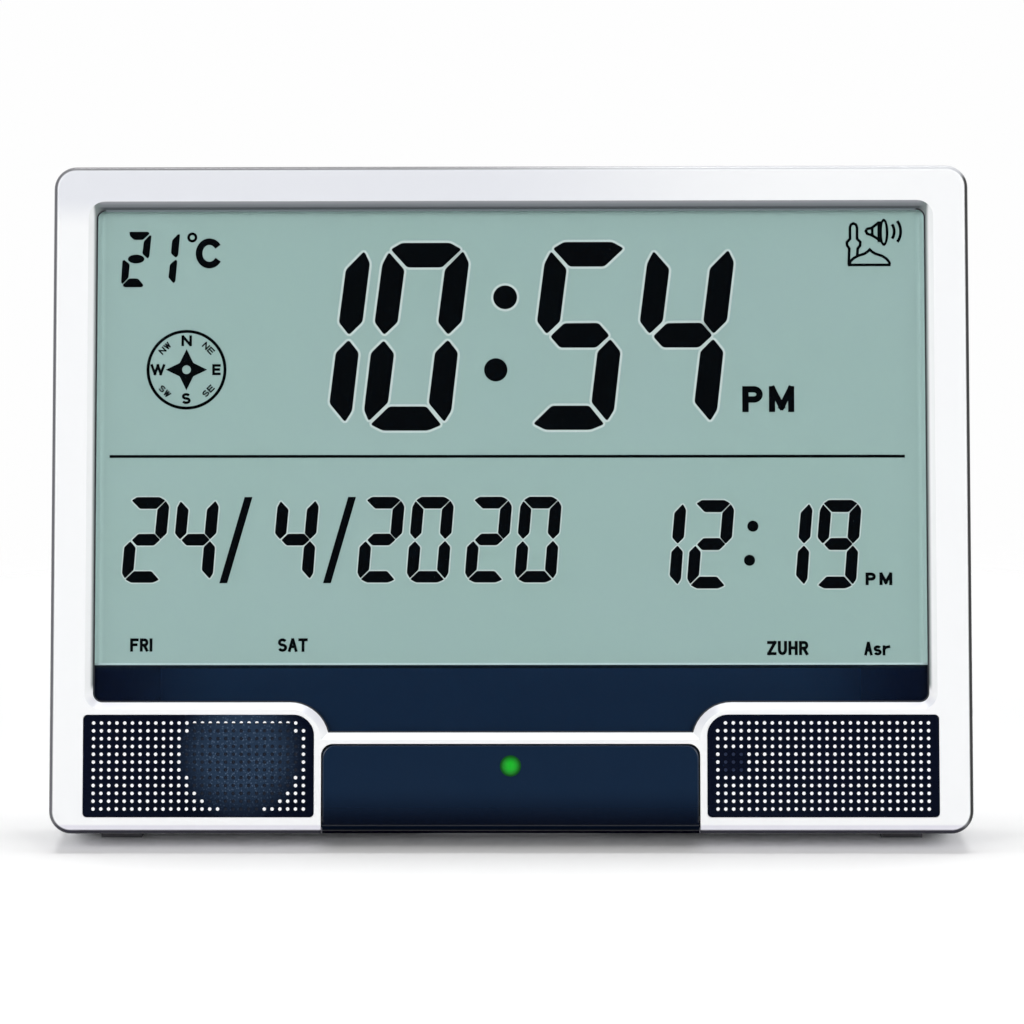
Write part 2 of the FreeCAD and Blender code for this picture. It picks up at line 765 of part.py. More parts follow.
def make_key_door():
    """A flap drawn in its side view: a round barrel at the foot, a flat plate above it."""
    body = new_body("key_door")
    add(body, [rectangle("-1 * door_half", "door_half", "hinge_z", "door_top", None, "door_round")],
        "door_front", "door_thickness")
    soften(body, "Fillet", "door_edge", lies_at_depth("door_front", ("-1 * door_half - 1", "door_half + 1",
                                                                    "hinge_z + 0.01", "door_top + 1")))
    add(body, [("hinge_y", "hinge_z", "barrel_radius")], "-1 * door_half", "2 * door_half", "YZ_Plane")
    pin_half = "door_half + door_gap + hinge_pin_reach - 0.2"
    add(body, [("hinge_y", "hinge_z", "hinge_pin_radius")], "-1 * (%s)" % pin_half,
        "2 * (%s)" % pin_half, "YZ_Plane")
    cut(body, [("0", "led_height", "led_lens_radius")], "-1", "door_thickness + 3")
    lens = new_body("door_led_lens")
    face, back = ("door_front", "door_front + door_thickness")
    turn_about(lens, [("door_front - led_dome", "0"), (face, "led_lens_radius * 0.82"),
                      (face, "led_lens_radius"), (back, "led_lens_radius"), (back, "0")],
               "0", "led_height")


def key_places():
    middle = "(key_count - 1) / 2"
    return ["(%d - %s) * key_pitch" % (index, middle) for index in range(int(size("key_count")))]


def key_outline(x, grow):
    wide, tall = ("key_long / 2 + %s" % grow, "key_tall / 2 + %s" % grow)
    return rectangle("%s - (%s)" % (x, wide), "%s + %s" % (x, wide), "key_height - (%s)" % tall,
                     "key_height + %s" % tall, "key_round")


def panel_posts():
    return [(x, "post_height") for x in mirrored(["post_inner_x", "post_x"])]


def make_key_panel():
    body = new_body("key_panel")
    rim = "opening_half + skirt_thickness"
    add(body, [rectangle("-1 * (%s)" % rim, rim, "panel_base", "opening_top + skirt_thickness", None,
                         "door_round")] + [key_outline(x, "key_gap") for x in key_places()]
        + [("0", "led_height", "status_led_radius + key_gap")], "panel_front", "panel_thickness")
    add(body, [(x, z, "post_radius") for x, z in panel_posts()], "panel_back - 0.2",
        "key_board_front - panel_back + 0.2")
    cut(body, [(x, z, "screw_radius + thread_gap") for x, z in panel_posts()], "panel_back",
        "key_board_front")


def make_keys():
    for number, x in enumerate(key_places(), start=1):
        key = new_body("key_%d" % number)
        add(key, [key_outline(x, "0")], "panel_front - key_proud", "flange_front - panel_front + key_proud")
        add(key, [key_outline(x, "key_lip")], "flange_front", "key_flange")
        soften(key, "Chamfer", "key_edge", lies_at_depth("panel_front - key_proud"))
    pad = new_body("key_pad")
    reach = "(key_count - 1) / 2 * key_pitch + key_long / 2 + key_lip"
    add(pad, [rectangle("-1 * (%s)" % reach, reach, "key_height - key_tall / 2 - pad_lap",
                        "key_height + key_tall / 2 + pad_lap")], "pad_front", "pad_thickness")
    add(pad, [(x, "key_height", "dome_radius") for x in key_places()], "dome_front",
        "dome_height + pad_thickness / 2")
    board = new_body("key_pcb")
    half = "opening_half - pad_lap"
    low = "key_height - key_tall / 2 - pad_lap - key_lip"
    add(board, [rectangle("-1 * (%s)" % half, half, low, "opening_top")]
        + [(x, z, "screw_radius + thread_gap") for x, z in panel_posts()],
        "key_board_front", "board_thickness")
    screw_group("key_pcb_screws", panel_posts(), "key_board_back", "board_thickness + key_board_bite")
    led = new_body("status_led")
    front = "door_front + door_thickness + key_gap"
    turn_about(led, [(front, "0"), ("%s + status_led_dome / 3" % front, "status_led_radius * 0.8"),
                     ("%s + status_led_dome" % front, "status_led_radius"),
                     ("key_board_front", "status_led_radius"), ("key_board_front", "0")],
               "0", "led_height")


# ---------------------------------------------------------------------------
# Rear cover, its hatch, leg, feet and sockets
# ---------------------------------------------------------------------------

def bay_box(grow):
    return rectangle("bay_x - bay_half_long - (%s)" % grow, "bay_x + bay_half_long + %s" % grow,
                     "bay_height - bay_half_tall - (%s)" % grow, "bay_height + bay_half_tall + %s" % grow)


def make_rear_cover():
    body = new_body("rear_cover")
    add(body, [case_outline("0")], "shell_depth", "cover_depth")
    soften(body, "Fillet", "back_round", lies_at_depth("case_depth"))
    inner = ("-half_width + wall", "half_width - wall", "wall", "case_height - wall")
    cut(body, [case_outline("wall")], "shell_depth - 1", "recess_floor - wall - shell_depth + 1")
    shelf = "recess_half + wall"
    cut(body, [rounded([
        (inner[0], "wall + 1", "corner_round - wall"), ("-1 * (%s)" % shelf, "wall + 1", None),
        ("-1 * (%s)" % shelf, "recess_top + wall", None), (shelf, "recess_top + wall", None),
        (shelf, "wall + 1", None), (inner[1], "wall + 1", "corner_round - wall"),
        (inner[1], "case_height - wall - 1", "corner_round - wall"),
        (inner[0], "case_height - wall - 1", "corner_round - wall")])],
        "recess_floor - wall - 0.1", "cover_inside - recess_floor + wall + 0.1")
    make_bay(body)
    cut(body, [rectangle("-1 * recess_half", "recess_half", "-1", "recess_top")], "recess_floor",
        "recess_depth + 1")
    pin_reach = "recess_half + stand_pin_reach"
    cut(body, [("stand_axis_y", "stand_hinge_height", "stand_pin_radius + running_gap / 3")],
        "-1 * (%s)" % pin_reach, "2 * (%s)" % pin_reach, "YZ_Plane")
    make_cover_posts(body)
    make_back_openings(body)
    foot_low = "foot_back - foot_length"
    for left in mirrored(["half_width - foot_inset"]):
        cut(body, [rectangle(foot_low, "foot_back", "-1", "foot_sink")], "%s - foot_width / 2" % left,
            "foot_width", "YZ_Plane")
    return body


def make_bay(body):
    """The battery bay: a tray that reaches forward from the back wall, and its hatch seat."""
    add(body, [bay_box("bay_wall")], "bay_front - bay_wall", "cover_inside - bay_front + bay_wall + 0.1")
    cut(body, [bay_box("0")], "bay_front", "case_depth")
    cut(body, [bay_box("bay_door_lap")], "bay_door_front", "case_depth")
    reach = "bay_half_long + bay_door_lap + bay_pin_reach"
    cut(body, [("bay_axis_y", "bay_axis_z", "bay_pin_radius + running_gap")], "bay_x - (%s)" % reach,
        "2 * (%s)" % reach, "YZ_Plane")


def make_cover_posts(body):
    """Posts that meet the bezel's bosses, with sunk seats for the screw heads."""
    places = boss_places()
    add(body, [(x, z, "screw_head_radius + post_wall") for x, z in places], "shell_depth",
        "cover_inside - shell_depth + 0.1")
    cut(body, [(x, z, "screw_radius + screw_clearance") for x, z in places], "shell_depth - 1",
        "screw_seat + 2")
    cut(body, [(x, z, "screw_head_radius + head_clearance") for x, z in places], "shell_depth + screw_seat",
        "cover_depth")
    lip_out = "wall + lip_gap"
    lip_in = "wall + lip_gap + lip_thickness"
    add(body, [case_outline(lip_out), case_outline(lip_in)], "shell_depth - lip_depth", "lip_depth + 0.1")
    add(body, [case_outline("wall / 2"), case_outline(lip_in)], "shell_depth", "lip_thickness")


def make_back_openings(body):
    """Sound slots, wall-hanging keyholes, the jack hole and the switch slot."""
    slots = []
    for index in range(int(size("vent_count"))):
        z = "speaker_height + (%d - (vent_count - 1) / 2) * vent_pitch" % index
        slots.append(rectangle("speaker_x - vent_half", "speaker_x + vent_half",
                               "%s - vent_width / 2" % z, "%s + vent_width / 2" % z, "vent_width * 0.45"))
    cut(body, slots, "cover_inside - 1", "wall + 2")
    cut(body, [(x, "keyhole_height", "keyhole_radius") for x in mirrored(["keyhole_x"])],
        "cover_inside - 1", "wall + 2")
    cut(body, [rectangle("%s - keyhole_slot" % x, "%s + keyhole_slot" % x, "keyhole_height",
                         "keyhole_height + keyhole_rise", None, "keyhole_slot * 0.95")
               for x in mirrored(["keyhole_x"])], "cover_inside - 1", "wall + 2")
    cut(body, [("jack_x", "jack_height", "jack_radius + plate_gap")], "cover_inside - 1", "wall + 2")
    reach = "switch_travel + knob_half + slot_gap"
    cut(body, [rectangle("switch_x - (%s)" % reach, "switch_x + %s" % reach,
                         "switch_height - knob_half", "switch_height + knob_half")],
        "cover_inside - 1", "wall + 2")


def make_jack_and_switch():
    jack = new_body("dc_jack")
    add(jack, [("jack_x", "jack_height", "jack_radius + jack_shoulder")], "cover_inside - jack_body",
        "jack_body")
    add(jack, [("jack_x", "jack_height", "jack_radius")], "cover_inside - 0.5", "wall + 0.5")
    cut(jack, [("jack_x", "jack_height", "jack_bore"), ("jack_x", "jack_height", "jack_pin")],
        "case_depth - jack_depth", "jack_depth + 1")
    base = new_body("volume_switch_base")
    add(base, [rectangle("switch_x - switch_long / 2", "switch_x + switch_long / 2",
                         "switch_height - switch_tall / 2", "switch_height + switch_tall / 2")],
        "cover_inside - switch_body", "switch_body")
    knob = new_body("volume_switch_knob")
    knob_tall = "(knob_half - key_gap)"
    add(knob, [rectangle("switch_x - knob_half", "switch_x + knob_half", "switch_height - %s" % knob_tall,
                         "switch_height + %s" % knob_tall)],
        "cover_inside + thread_gap", "wall + knob_rise")


def make_leg():
    pin = new_body("stand_pin", "0", "stand_axis_y", "stand_hinge_height")
    reach = "recess_half + stand_pin_reach - 0.2"
    add(pin, [("0", "0", "stand_pin_radius")], "-1 * (%s)" % reach, "2 * (%s)" % reach, "YZ_Plane")
    leg = new_body("stand_leg", "stand_open", "stand_axis_y", "stand_hinge_height")
    end = "stand_length - 2 * stand_pad_radius"
    add(leg, [rectangle("-1 * stand_half", "stand_half", "-1 * (%s)" % end, "0", None, None)],
        "-stand_thickness / 2", "stand_thickness")
    cut(leg, [rectangle("-1 * stand_half + leg_border", "stand_half - leg_border",
                        "-1 * (%s) + leg_border" % end, "-stand_barrel - leg_border", "leg_round")],
        "-stand_thickness / 2", "stand_thickness - leg_web")
    add(leg, [("0", "0", "stand_barrel")], "-1 * stand_half", "2 * stand_half", "YZ_Plane")
    cut(leg, [("0", "0", "stand_pin_radius + running_gap")], "-1 * stand_half - 1", "2 * stand_half + 2",
        "YZ_Plane")
    pad = new_body("stand_pad", "stand_open", "stand_axis_y", "stand_hinge_height")
    round_z = "-1 * (stand_length - stand_pad_radius)"
    add(pad, [[("-1 * stand_pad_radius", round_z, "stand_pad_radius", 1),
               ("0", "-1 * stand_length", "stand_pad_radius", 1), ("stand_pad_radius", round_z),
               ("stand_pad_radius", "-1 * (%s)" % end), ("-1 * stand_pad_radius", "-1 * (%s)" % end)]],
        "-1 * stand_half", "2 * stand_half", "YZ_Plane")


def make_feet():
    feet = new_body("rubber_feet")
    low = "foot_back - foot_length"
    for left in mirrored(["half_width - foot_inset"]):
        add(feet, [[(low, "-1 * foot_drop - foot_length * tan(lean)"), ("foot_back", "-1 * foot_drop"),
                    ("foot_back", "foot_sink"), (low, "foot_sink")]],
            "%s - foot_width / 2" % left, "foot_width", "YZ_Plane")
    feet.AllowCompound = True


def make_battery_parts():
    hatch = new_body("battery_door")
    gap = "bay_door_lap - bay_door_gap"
    left, right = ("bay_x - bay_half_long - (%s)" % gap, "bay_x + bay_half_long + %s" % gap)
    add(hatch, [rectangle(left, right, "bay_axis_z", "bay_height + bay_half_tall + %s" % gap)],
        "bay_door_front", "bay_door_thickness")
    add(hatch, [("bay_axis_y", "bay_axis_z", "bay_door_thickness / 2")], left,
        "2 * (bay_half_long + %s)" % gap, "YZ_Plane")
    reach = "bay_half_long + bay_door_lap + bay_pin_reach - 0.2"
    add(hatch, [("bay_axis_y", "bay_axis_z", "bay_pin_radius")], "bay_x - (%s)" % reach, "2 * (%s)" % reach,
        "YZ_Plane")
    grooves = []
    for step in (-1, 0, 1):
        x = "bay_x + %d * groove_pitch" % step
        grooves.append(rectangle("%s - groove_width / 2" % x, "%s + groove_width / 2" % x,
                                 "bay_height + bay_half_tall - groove_length - groove_inset",
                                 "bay_height + bay_half_tall - groove_inset"))
    cut(hatch, grooves, "case_depth - groove_depth", "groove_depth")
    count = int(size("cell_count"))
    for index in range(count):
        z = cell_z(index)
        nub_first = index % 2
        cell = new_body("battery_%d" % (index + 1))
        add(cell, [("cell_y", z, "cell_radius")], "bay_x - cell_length / 2", "cell_length", "YZ_Plane")
        nub = "bay_x - cell_length / 2 - cell_nub_height" if nub_first else "bay_x + cell_length / 2 - 0.1"
        add(cell, [("cell_y", z, "cell_nub_radius")], nub, "cell_nub_height + 0.1", "YZ_Plane")
    make_contacts(count)


def cell_z(index):
    """Height of a cell's middle; the row of cells is centred on the bay."""
    return "(bay_height + (%d - (cell_count - 1) / 2) * cell_pitch)" % index


def make_contacts(count):
    plates, springs = new_body("battery_plates"), new_body("battery_springs")
    for end in (-1, 1):
        wall_x = "bay_x + %d * bay_half_long" % end
        start = wall_x if end < 0 else "%s - contact_thickness" % wall_x
        strips = []
        for index in range(count):
            low, high = ("%s - contact_half" % cell_z(index), "%s + contact_half" % cell_z(index))
            strips.append(rectangle("cell_y - contact_half", "cell_y + contact_half", low, high))
        add(plates, strips, start, "contact_thickness", "YZ_Plane")
    plates.AllowCompound = True
    free = "bay_half_long - cell_length / 2 - contact_thickness"
    for index in range(count):
        z = cell_z(index)
        start = "bay_x + cell_length / 2" if index % 2 else "bay_x - bay_half_long + contact_thickness"
        add(springs, [("cell_y", z, "spring_radius"), ("cell_y", z, "spring_radius - spring_wall")], start,
            free, "YZ_Plane")
    springs.AllowCompound = True


# ---------------------------------------------------------------------------
# Assembly, checks and export
# ---------------------------------------------------------------------------

def check_model():
    """Stop if anything failed to build, or if a pocket missed its body."""
    for item in document.Objects:
        if "Invalid" in item.State or "Error" in item.State:
            raise RuntimeError("%s did not build: %s" % (item.Name, item.State))
        if item.TypeId == "PartDesign::Pocket":
            before, after = item.BaseFeature.Shape.Volume, item.Shape.Volume
            if before - after < 1e-6:
                raise RuntimeError("%s cuts nothing" % item.Name)
    for body in pieces():
        if body.Shape.isNull() or not body.Shape.Solids:
            raise RuntimeError("%s has no solid" % body.Label)


def pieces():
    return [item for item in document.Objects if item.TypeId == "PartDesign::Body"]


def export_pieces():
    os.makedirs("parts", exist_ok=True)
    for body in pieces():
        body.Shape.exportStep("parts/%s.step" % body.Label)
        print("%-22s %d solid(s) %10.1f mm3" % (body.Label, len(body.Shape.Solids), body.Shape.Volume))


make_front_bezel()
make_display()
make_boards()
make_grille("left_grille", -1)
make_grille("right_grille", 1)
make_speaker()
make_sensor()
make_key_door()
make_key_panel()
make_keys()
make_rear_cover()
make_jack_and_switch()
make_leg()
make_feet()
make_battery_parts()
screw_group("case_screws", boss_places(), "shell_depth + screw_seat", "screw_length")
document.recompute()
check_model()
export_pieces()
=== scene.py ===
import json
import math

import bmesh
import bpy
from mathutils import Matrix, Vector


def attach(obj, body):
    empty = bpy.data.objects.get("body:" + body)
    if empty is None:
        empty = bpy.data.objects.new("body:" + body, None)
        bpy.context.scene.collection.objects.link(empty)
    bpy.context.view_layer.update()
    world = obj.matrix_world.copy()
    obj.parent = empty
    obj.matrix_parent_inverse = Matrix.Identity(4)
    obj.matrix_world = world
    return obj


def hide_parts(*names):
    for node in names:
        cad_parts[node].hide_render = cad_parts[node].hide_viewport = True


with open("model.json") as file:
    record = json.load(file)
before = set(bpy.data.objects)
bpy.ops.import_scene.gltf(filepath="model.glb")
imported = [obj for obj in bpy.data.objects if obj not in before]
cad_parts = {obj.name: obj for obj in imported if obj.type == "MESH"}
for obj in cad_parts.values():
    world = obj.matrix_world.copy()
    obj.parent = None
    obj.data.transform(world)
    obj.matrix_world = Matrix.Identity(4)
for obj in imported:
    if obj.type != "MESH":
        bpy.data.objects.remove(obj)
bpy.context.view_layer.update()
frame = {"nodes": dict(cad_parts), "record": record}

# An azan clock that leans back on its leg. The case has a frame of its own, in mm:
# x to the right, y from the front face to the back, z up from the underside.
MM = 0.001
KEYHOLE = Vector((-95.0, 30.9, 200.0))     # middle of the left keyhole's wall, in the case


def mount(name):
    return next(item for item in frame["record"]["mounts"] if item["name"] == name)


def case_matrix():
    """Matrix from the case's own frame in mm to the part's frame in metres."""
    hook = mount("keyhole_left")
    back = Vector(hook["axis"])
    lean = math.atan2(-back.z, back.y)
    turn = Matrix.Rotation(-lean, 4, "X") @ Matrix.Scale(MM, 4)
    shift = Vector(hook["pos_m"]) - (turn @ KEYHOLE)
    return Matrix.Translation(shift) @ turn


CASE = case_matrix()
CASE_INVERSE = CASE.inverted()


def case_box(node):
    """Lowest and highest corner of a CAD node, in the case's frame, in mm."""
    places = [CASE_INVERSE @ vertex.co for vertex in frame["nodes"][node].data.vertices]
    low = Vector([min(place[axis] for place in places) for axis in range(3)])
    high = Vector([max(place[axis] for place in places) for axis in range(3)])
    return low, high


def face_middle(node):
    """Middle of a CAD node, across and up."""
    low, high = case_box(node)
    return (low.x + high.x) / 2, (low.z + high.z) / 2


# --------------------------
# Places and sizes on the case, in mm
# --------------------------

CASE_ROUND = 7.6           # corner of the case
EDGE_BAND = 1.35           # width of the painted reflection line round the front of the case
BEVEL_DEEP = 2.9           # width of the slope round the window
CHEEK_FOOT = 47.6          # the sides of that slope are shaded above this height
LENS_LAP = 1.1             # how far the lens reaches behind the rim of the window
DOOR_HALF = 63.5           # half the width of the key door
FAR = 1000.0               # beyond every piece of the case

# Where each painted shade, light and reflection begins and where it is full.
LINE_DEEP = (3.6, 2.8)     # the painted reflection line, behind the face
LIP_HIGH = (3.0, 2.2)      # the painted shade on the lip under the door, over the foot of the case
BROW_LINE = (0.9, 0.4)     # the painted dark line at the start of the slope, over the window
NAVY_FOOT = (16.0, 1.0)    # painted shade at the foot of the door and band, over the foot of the case
NAVY_ENDS = (95.0, 138.0)  # painted shade at the ends of the band, from the middle
GLASS_ENDS = (3.6, -0.6)   # painted light along the edges of the LCD, inside the sides of the window
GLASS_TOP = (1.8, 0.2)     # and under its top
LENS_GLOW = (4.0, 0.6)     # the light of the green lens, from its middle
FACES_UP = (0.1, 0.5)      # upward part of a surface's direction, of 1
FACES_DOWN = (-0.1, -0.3)

SOUND_MIDDLE = (-91.2, 26.6)
SOUND_RADIUS = 19.6
FLECK_SCALE = 1.1          # flecks of the painted sheen, in a millimetre

GRAIN_PATCHES = 14.0       # patches in a metre, where the colour of a moulding drifts
DUST_PATCHES = 60.0
DUST_SPECKS = 900.0
BUMP_DEPTH = 0.0002        # metres


# --------------------------
# Node helpers
# --------------------------

def feed(tree, node, feeds):
    """Give inputs of a node a constant each, or a link from the output of another node."""
    for key, value in feeds.items():
        if isinstance(value, bpy.types.NodeSocket):
            tree.links.new(value, node.inputs[key])
        else:
            node.inputs[key].default_value = value


def add_node(tree, kind, feeds=None, **settings):
    node = tree.nodes.new(kind)
    for key, value in settings.items():
        setattr(node, key, value)
    feed(tree, node, feeds or {})
    return node


def reckon(tree, operation, *values):
    """Result of a maths node; each value is a number or the output of a node."""
    node = add_node(tree, "ShaderNodeMath", dict(enumerate(values)), operation=operation)
    return node.outputs[0]


def reckon_vector(tree, operation, *values):
    node = add_node(tree, "ShaderNodeVectorMath", dict(enumerate(values)), operation=operation)
    return node.outputs["Value" if operation == "LENGTH" else "Vector"]


def product(tree, first, second):
    return reckon(tree, "MULTIPLY", first, second)


def ramp(tree, source, start, end, low=0.0, high=1.0, kind="SMOOTHSTEP"):
    """A step from low to high as the source runs from start to end, smooth unless told."""
    node = add_node(tree, "ShaderNodeMapRange", {
        "Value": source, "From Min": start, "From Max": end, "To Min": low, "To Max": high},
        interpolation_type=kind)
    return node.outputs["Result"]


def blend(tree, factor, first, second):
    """A mix of two colours; each is a plain colour or the output of a node."""
    node = add_node(tree, "ShaderNodeMix", {"Factor": factor, "A": first, "B": second},
                    data_type="RGBA")
    return node.outputs["Result"]


def mixed_shader(tree, factor, first, second):
    node = add_node(tree, "ShaderNodeMixShader", {"Fac": factor, 1: first, 2: second})
    return node.outputs["Shader"]


# --------------------------
# Node groups: effects that several finishes share
# --------------------------

def new_group(name, inputs, outputs):
    group = bpy.data.node_groups.new(name, "ShaderNodeTree")
    for label, kind, value in inputs:
        socket = group.interface.new_socket(label, in_out="INPUT", socket_type="NodeSocket" + kind)
        socket.default_value = value
    for label, kind in outputs:
        group.interface.new_socket(label, in_out="OUTPUT", socket_type="NodeSocket" + kind)
    return group, group.nodes.new("NodeGroupInput").outputs, group.nodes.new("NodeGroupOutput")


def case_frame_group():
    """Where a point lies in the case's own frame, in mm, and how its surface faces there."""
    group, given, leave = new_group(
        "case_frame", [("Offset", "Vector", (0.0, 0.0, 0.0))],
        [("Place", "Vector"), ("Across", "Float"), ("Depth", "Float"), ("Up", "Float"),
         ("Faces across", "Float"), ("Faces up", "Float")])
    source = add_node(group, "ShaderNodeTexCoord").outputs
    turn = CASE_INVERSE.to_euler()
    spot = add_node(group, "ShaderNodeMapping", {
        "Vector": source["Object"], "Location": CASE_INVERSE.to_translation(), "Rotation": turn,
        "Scale": (1 / MM, 1 / MM, 1 / MM)}, vector_type="POINT")
    facing = add_node(group, "ShaderNodeMapping", {
        "Vector": source["Normal"], "Rotation": turn}, vector_type="VECTOR")
    place = reckon_vector(group, "SUBTRACT", spot.outputs["Vector"], given["Offset"])
    parts = add_node(group, "ShaderNodeSeparateXYZ", {0: place}).outputs
    sides = add_node(group, "ShaderNodeSeparateXYZ", {0: facing.outputs["Vector"]}).outputs
    feed(group, leave, {"Place": place, "Across": parts["X"], "Depth": parts["Y"],
                        "Up": parts["Z"], "Faces across": sides["X"], "Faces up": sides["Z"]})
    return group


def moulded_grain_group():
    """Fine moulded skin: a bump height, a roughness that wanders and a faint colour drift."""
    group, given, leave = new_group(
        "moulded_grain",
        [("Base", "Color", (0.8, 0.8, 0.8, 1)), ("Tint", "Color", (0.7, 0.7, 0.7, 1)),
         ("Drift", "Float", 0.2), ("Roughness", "Float", 0.4), ("Spread", "Float", 0.1),
         ("Grain size", "Float", 1400.0)],
        [("Color", "Color"), ("Roughness", "Float"), ("Height", "Float")])
    place = add_node(group, "ShaderNodeTexCoord").outputs["Object"]
    fine = add_node(group, "ShaderNodeTexNoise", {
        "Vector": place, "Scale": given["Grain size"], "Detail": 3.0}).outputs["Fac"]
    broad = add_node(group, "ShaderNodeTexNoise", {
        "Vector": place, "Scale": GRAIN_PATCHES, "Detail": 4.0}).outputs["Fac"]
    share = product(group, broad, given["Drift"])
    centred = reckon(group, "SUBTRACT", broad, 0.5)
    rough = reckon(group, "MULTIPLY_ADD", centred, given["Spread"], given["Roughness"])
    feed(group, leave, {"Color": blend(group, share, given["Base"], given["Tint"]),
                        "Roughness": rough, "Height": fine})
    return group


def dust_group():
    """Light dust that gathers in patches: a mask that lifts the colour and the roughness."""
    group, given, leave = new_group(
        "settled_dust",
        [("Base", "Color", (0.1, 0.1, 0.1, 1)), ("Dust", "Color", (0.5, 0.5, 0.5, 1)),
         ("Amount", "Float", 0.1), ("Roughness", "Float", 0.2)],
        [("Color", "Color"), ("Roughness", "Float")])
    place = add_node(group, "ShaderNodeTexCoord").outputs["Object"]
    cloud = add_node(group, "ShaderNodeTexNoise", {
        "Vector": place, "Scale": DUST_PATCHES, "Detail": 8.0}).outputs["Fac"]
    specks = add_node(group, "ShaderNodeTexVoronoi", {"Vector": place, "Scale": DUST_SPECKS})
    near = ramp(group, specks.outputs["Distance"], 0.16, 0.05, kind="LINEAR")
    amount = product(group, product(group, cloud, near), given["Amount"])
    rough = reckon(group, "MULTIPLY_ADD", cloud, 0.06, given["Roughness"])
    feed(group, leave, {"Color": blend(group, amount, given["Base"], given["Dust"]),
                        "Roughness": rough})
    return group


GRAIN = moulded_grain_group()
DUST = dust_group()
CASE_FRAME = case_frame_group()


def case_frame(tree, offset=(0.0, 0.0, 0.0)):
    return add_node(tree, "ShaderNodeGroup", {"Offset": offset}, node_tree=CASE_FRAME).outputs


def round_about(tree, x, z):
    """A point's place from x, z on the face, and how far it lies from there, seen square on."""
    place = case_frame(tree, (x, 0.0, z))["Place"]
    flat = reckon_vector(tree, "MULTIPLY", place, (1.0, 0.0, 1.0))
    return place, reckon_vector(tree, "LENGTH", flat)


# --------------------------
# Finishes
# --------------------------

def srgb(red, green, blue):
    """Linear colour of an 8-bit display colour."""
    def linear(value):
        value = value / 255.0
        return value / 12.92 if value <= 0.04045 else ((value + 0.055) / 1.055) ** 2.4
    return (linear(red), linear(green), linear(blue), 1.0)


WHITE = srgb(250, 251, 252)
COOL_WHITE = srgb(242, 244, 248)
NAVY = srgb(17, 37, 61)
PALE_DUST = srgb(120, 130, 150)


def new_finish(name, **constants):
    """A material with its Principled shader; constants are set straight on its sockets."""
    material = bpy.data.materials.new(name)
    material.use_nodes = True
    shader = material.node_tree.nodes["Principled BSDF"]
    for key, value in constants.items():
        shader.inputs[key.replace("_", " ")].default_value = value
    return material, material.node_tree, shader


def opened(material):
    """A finish to be painted further: its tree, its shader and its colour so far."""
    tree = material.node_tree
    shader = tree.nodes["Principled BSDF"]
    return tree, shader, shader.inputs["Base Color"].links[0].from_socket


def grained(name, base, tint, roughness, drift=0.25, spread=0.12, grain=1400.0, bump=0.04,
            **constants):
    """A moulded or painted surface built on the shared grain group."""
    material, tree, shader = new_finish(name, **constants)
    skin = add_node(tree, "ShaderNodeGroup", {
        "Base": base, "Tint": tint, "Drift": drift, "Roughness": roughness, "Spread": spread,
        "Grain size": grain}, node_tree=GRAIN).outputs
    relief = add_node(tree, "ShaderNodeBump", {
        "Strength": bump, "Distance": BUMP_DEPTH, "Height": skin["Height"]})
    feed(tree, shader, {"Base Color": skin["Color"], "Roughness": skin["Roughness"],
                        "Normal": relief.outputs["Normal"]})
    return material


def dusty(name, base, dust, roughness, amount=0.2, **constants):
    """A smooth glossy surface with settled dust."""
    material, tree, shader = new_finish(name, **constants)
    film = add_node(tree, "ShaderNodeGroup", {
        "Base": base, "Dust": dust, "Amount": amount, "Roughness": roughness},
        node_tree=DUST).outputs
    feed(tree, shader, {"Base Color": film["Color"], "Roughness": film["Roughness"]})
    return material


def clear_acrylic():
    """Clear window: a refracting shader that lets lamp light through to the display."""
    material, tree, shader = new_finish("clear_acrylic", Base_Color=(0.99, 1.0, 1.0, 1.0),
                                        IOR=1.49, Transmission_Weight=1.0)
    polish = add_node(tree, "ShaderNodeTexNoise", {"Scale": 9.0}).outputs["Fac"]
    rough = ramp(tree, polish, 0.0, 1.0, 0.0, 0.03, kind="LINEAR")
    feed(tree, shader, {"Roughness": rough})
    through = add_node(tree, "ShaderNodeBsdfTransparent")
    shadow = add_node(tree, "ShaderNodeLightPath").outputs["Is Shadow Ray"]
    feed(tree, tree.nodes["Material Output"], {"Surface": mixed_shader(
        tree, shadow, shader.outputs["BSDF"], through.outputs["BSDF"])})
    return material


def lit_lens(name, edge, middle, glow):
    """Green lens lit from behind: bright in the middle of its dome, dark round its rim."""
    material, tree, shader = new_finish(name, Roughness=0.35, Emission_Strength=glow,
                                        Specular_IOR_Level=0.25, Subsurface_Weight=0.0)
    reach = round_about(tree, *face_middle("door_led_lens"))[1]
    paint = blend(tree, ramp(tree, reach, *LENS_GLOW), edge, middle)
    feed(tree, shader, {"Base Color": paint, "Emission Color": paint})
    return material


def outline_reach(tree, place, half_wide, half_high):
    """How far a point lies out from the middles of the case's corners."""
    inner = (half_wide - CASE_ROUND, FAR, half_high - CASE_ROUND)
    out = reckon_vector(tree, "SUBTRACT", reckon_vector(tree, "ABSOLUTE", place["Place"]), inner)
    return reckon_vector(tree, "LENGTH", reckon_vector(tree, "MAXIMUM", out, (0.0, 0.0, 0.0)))


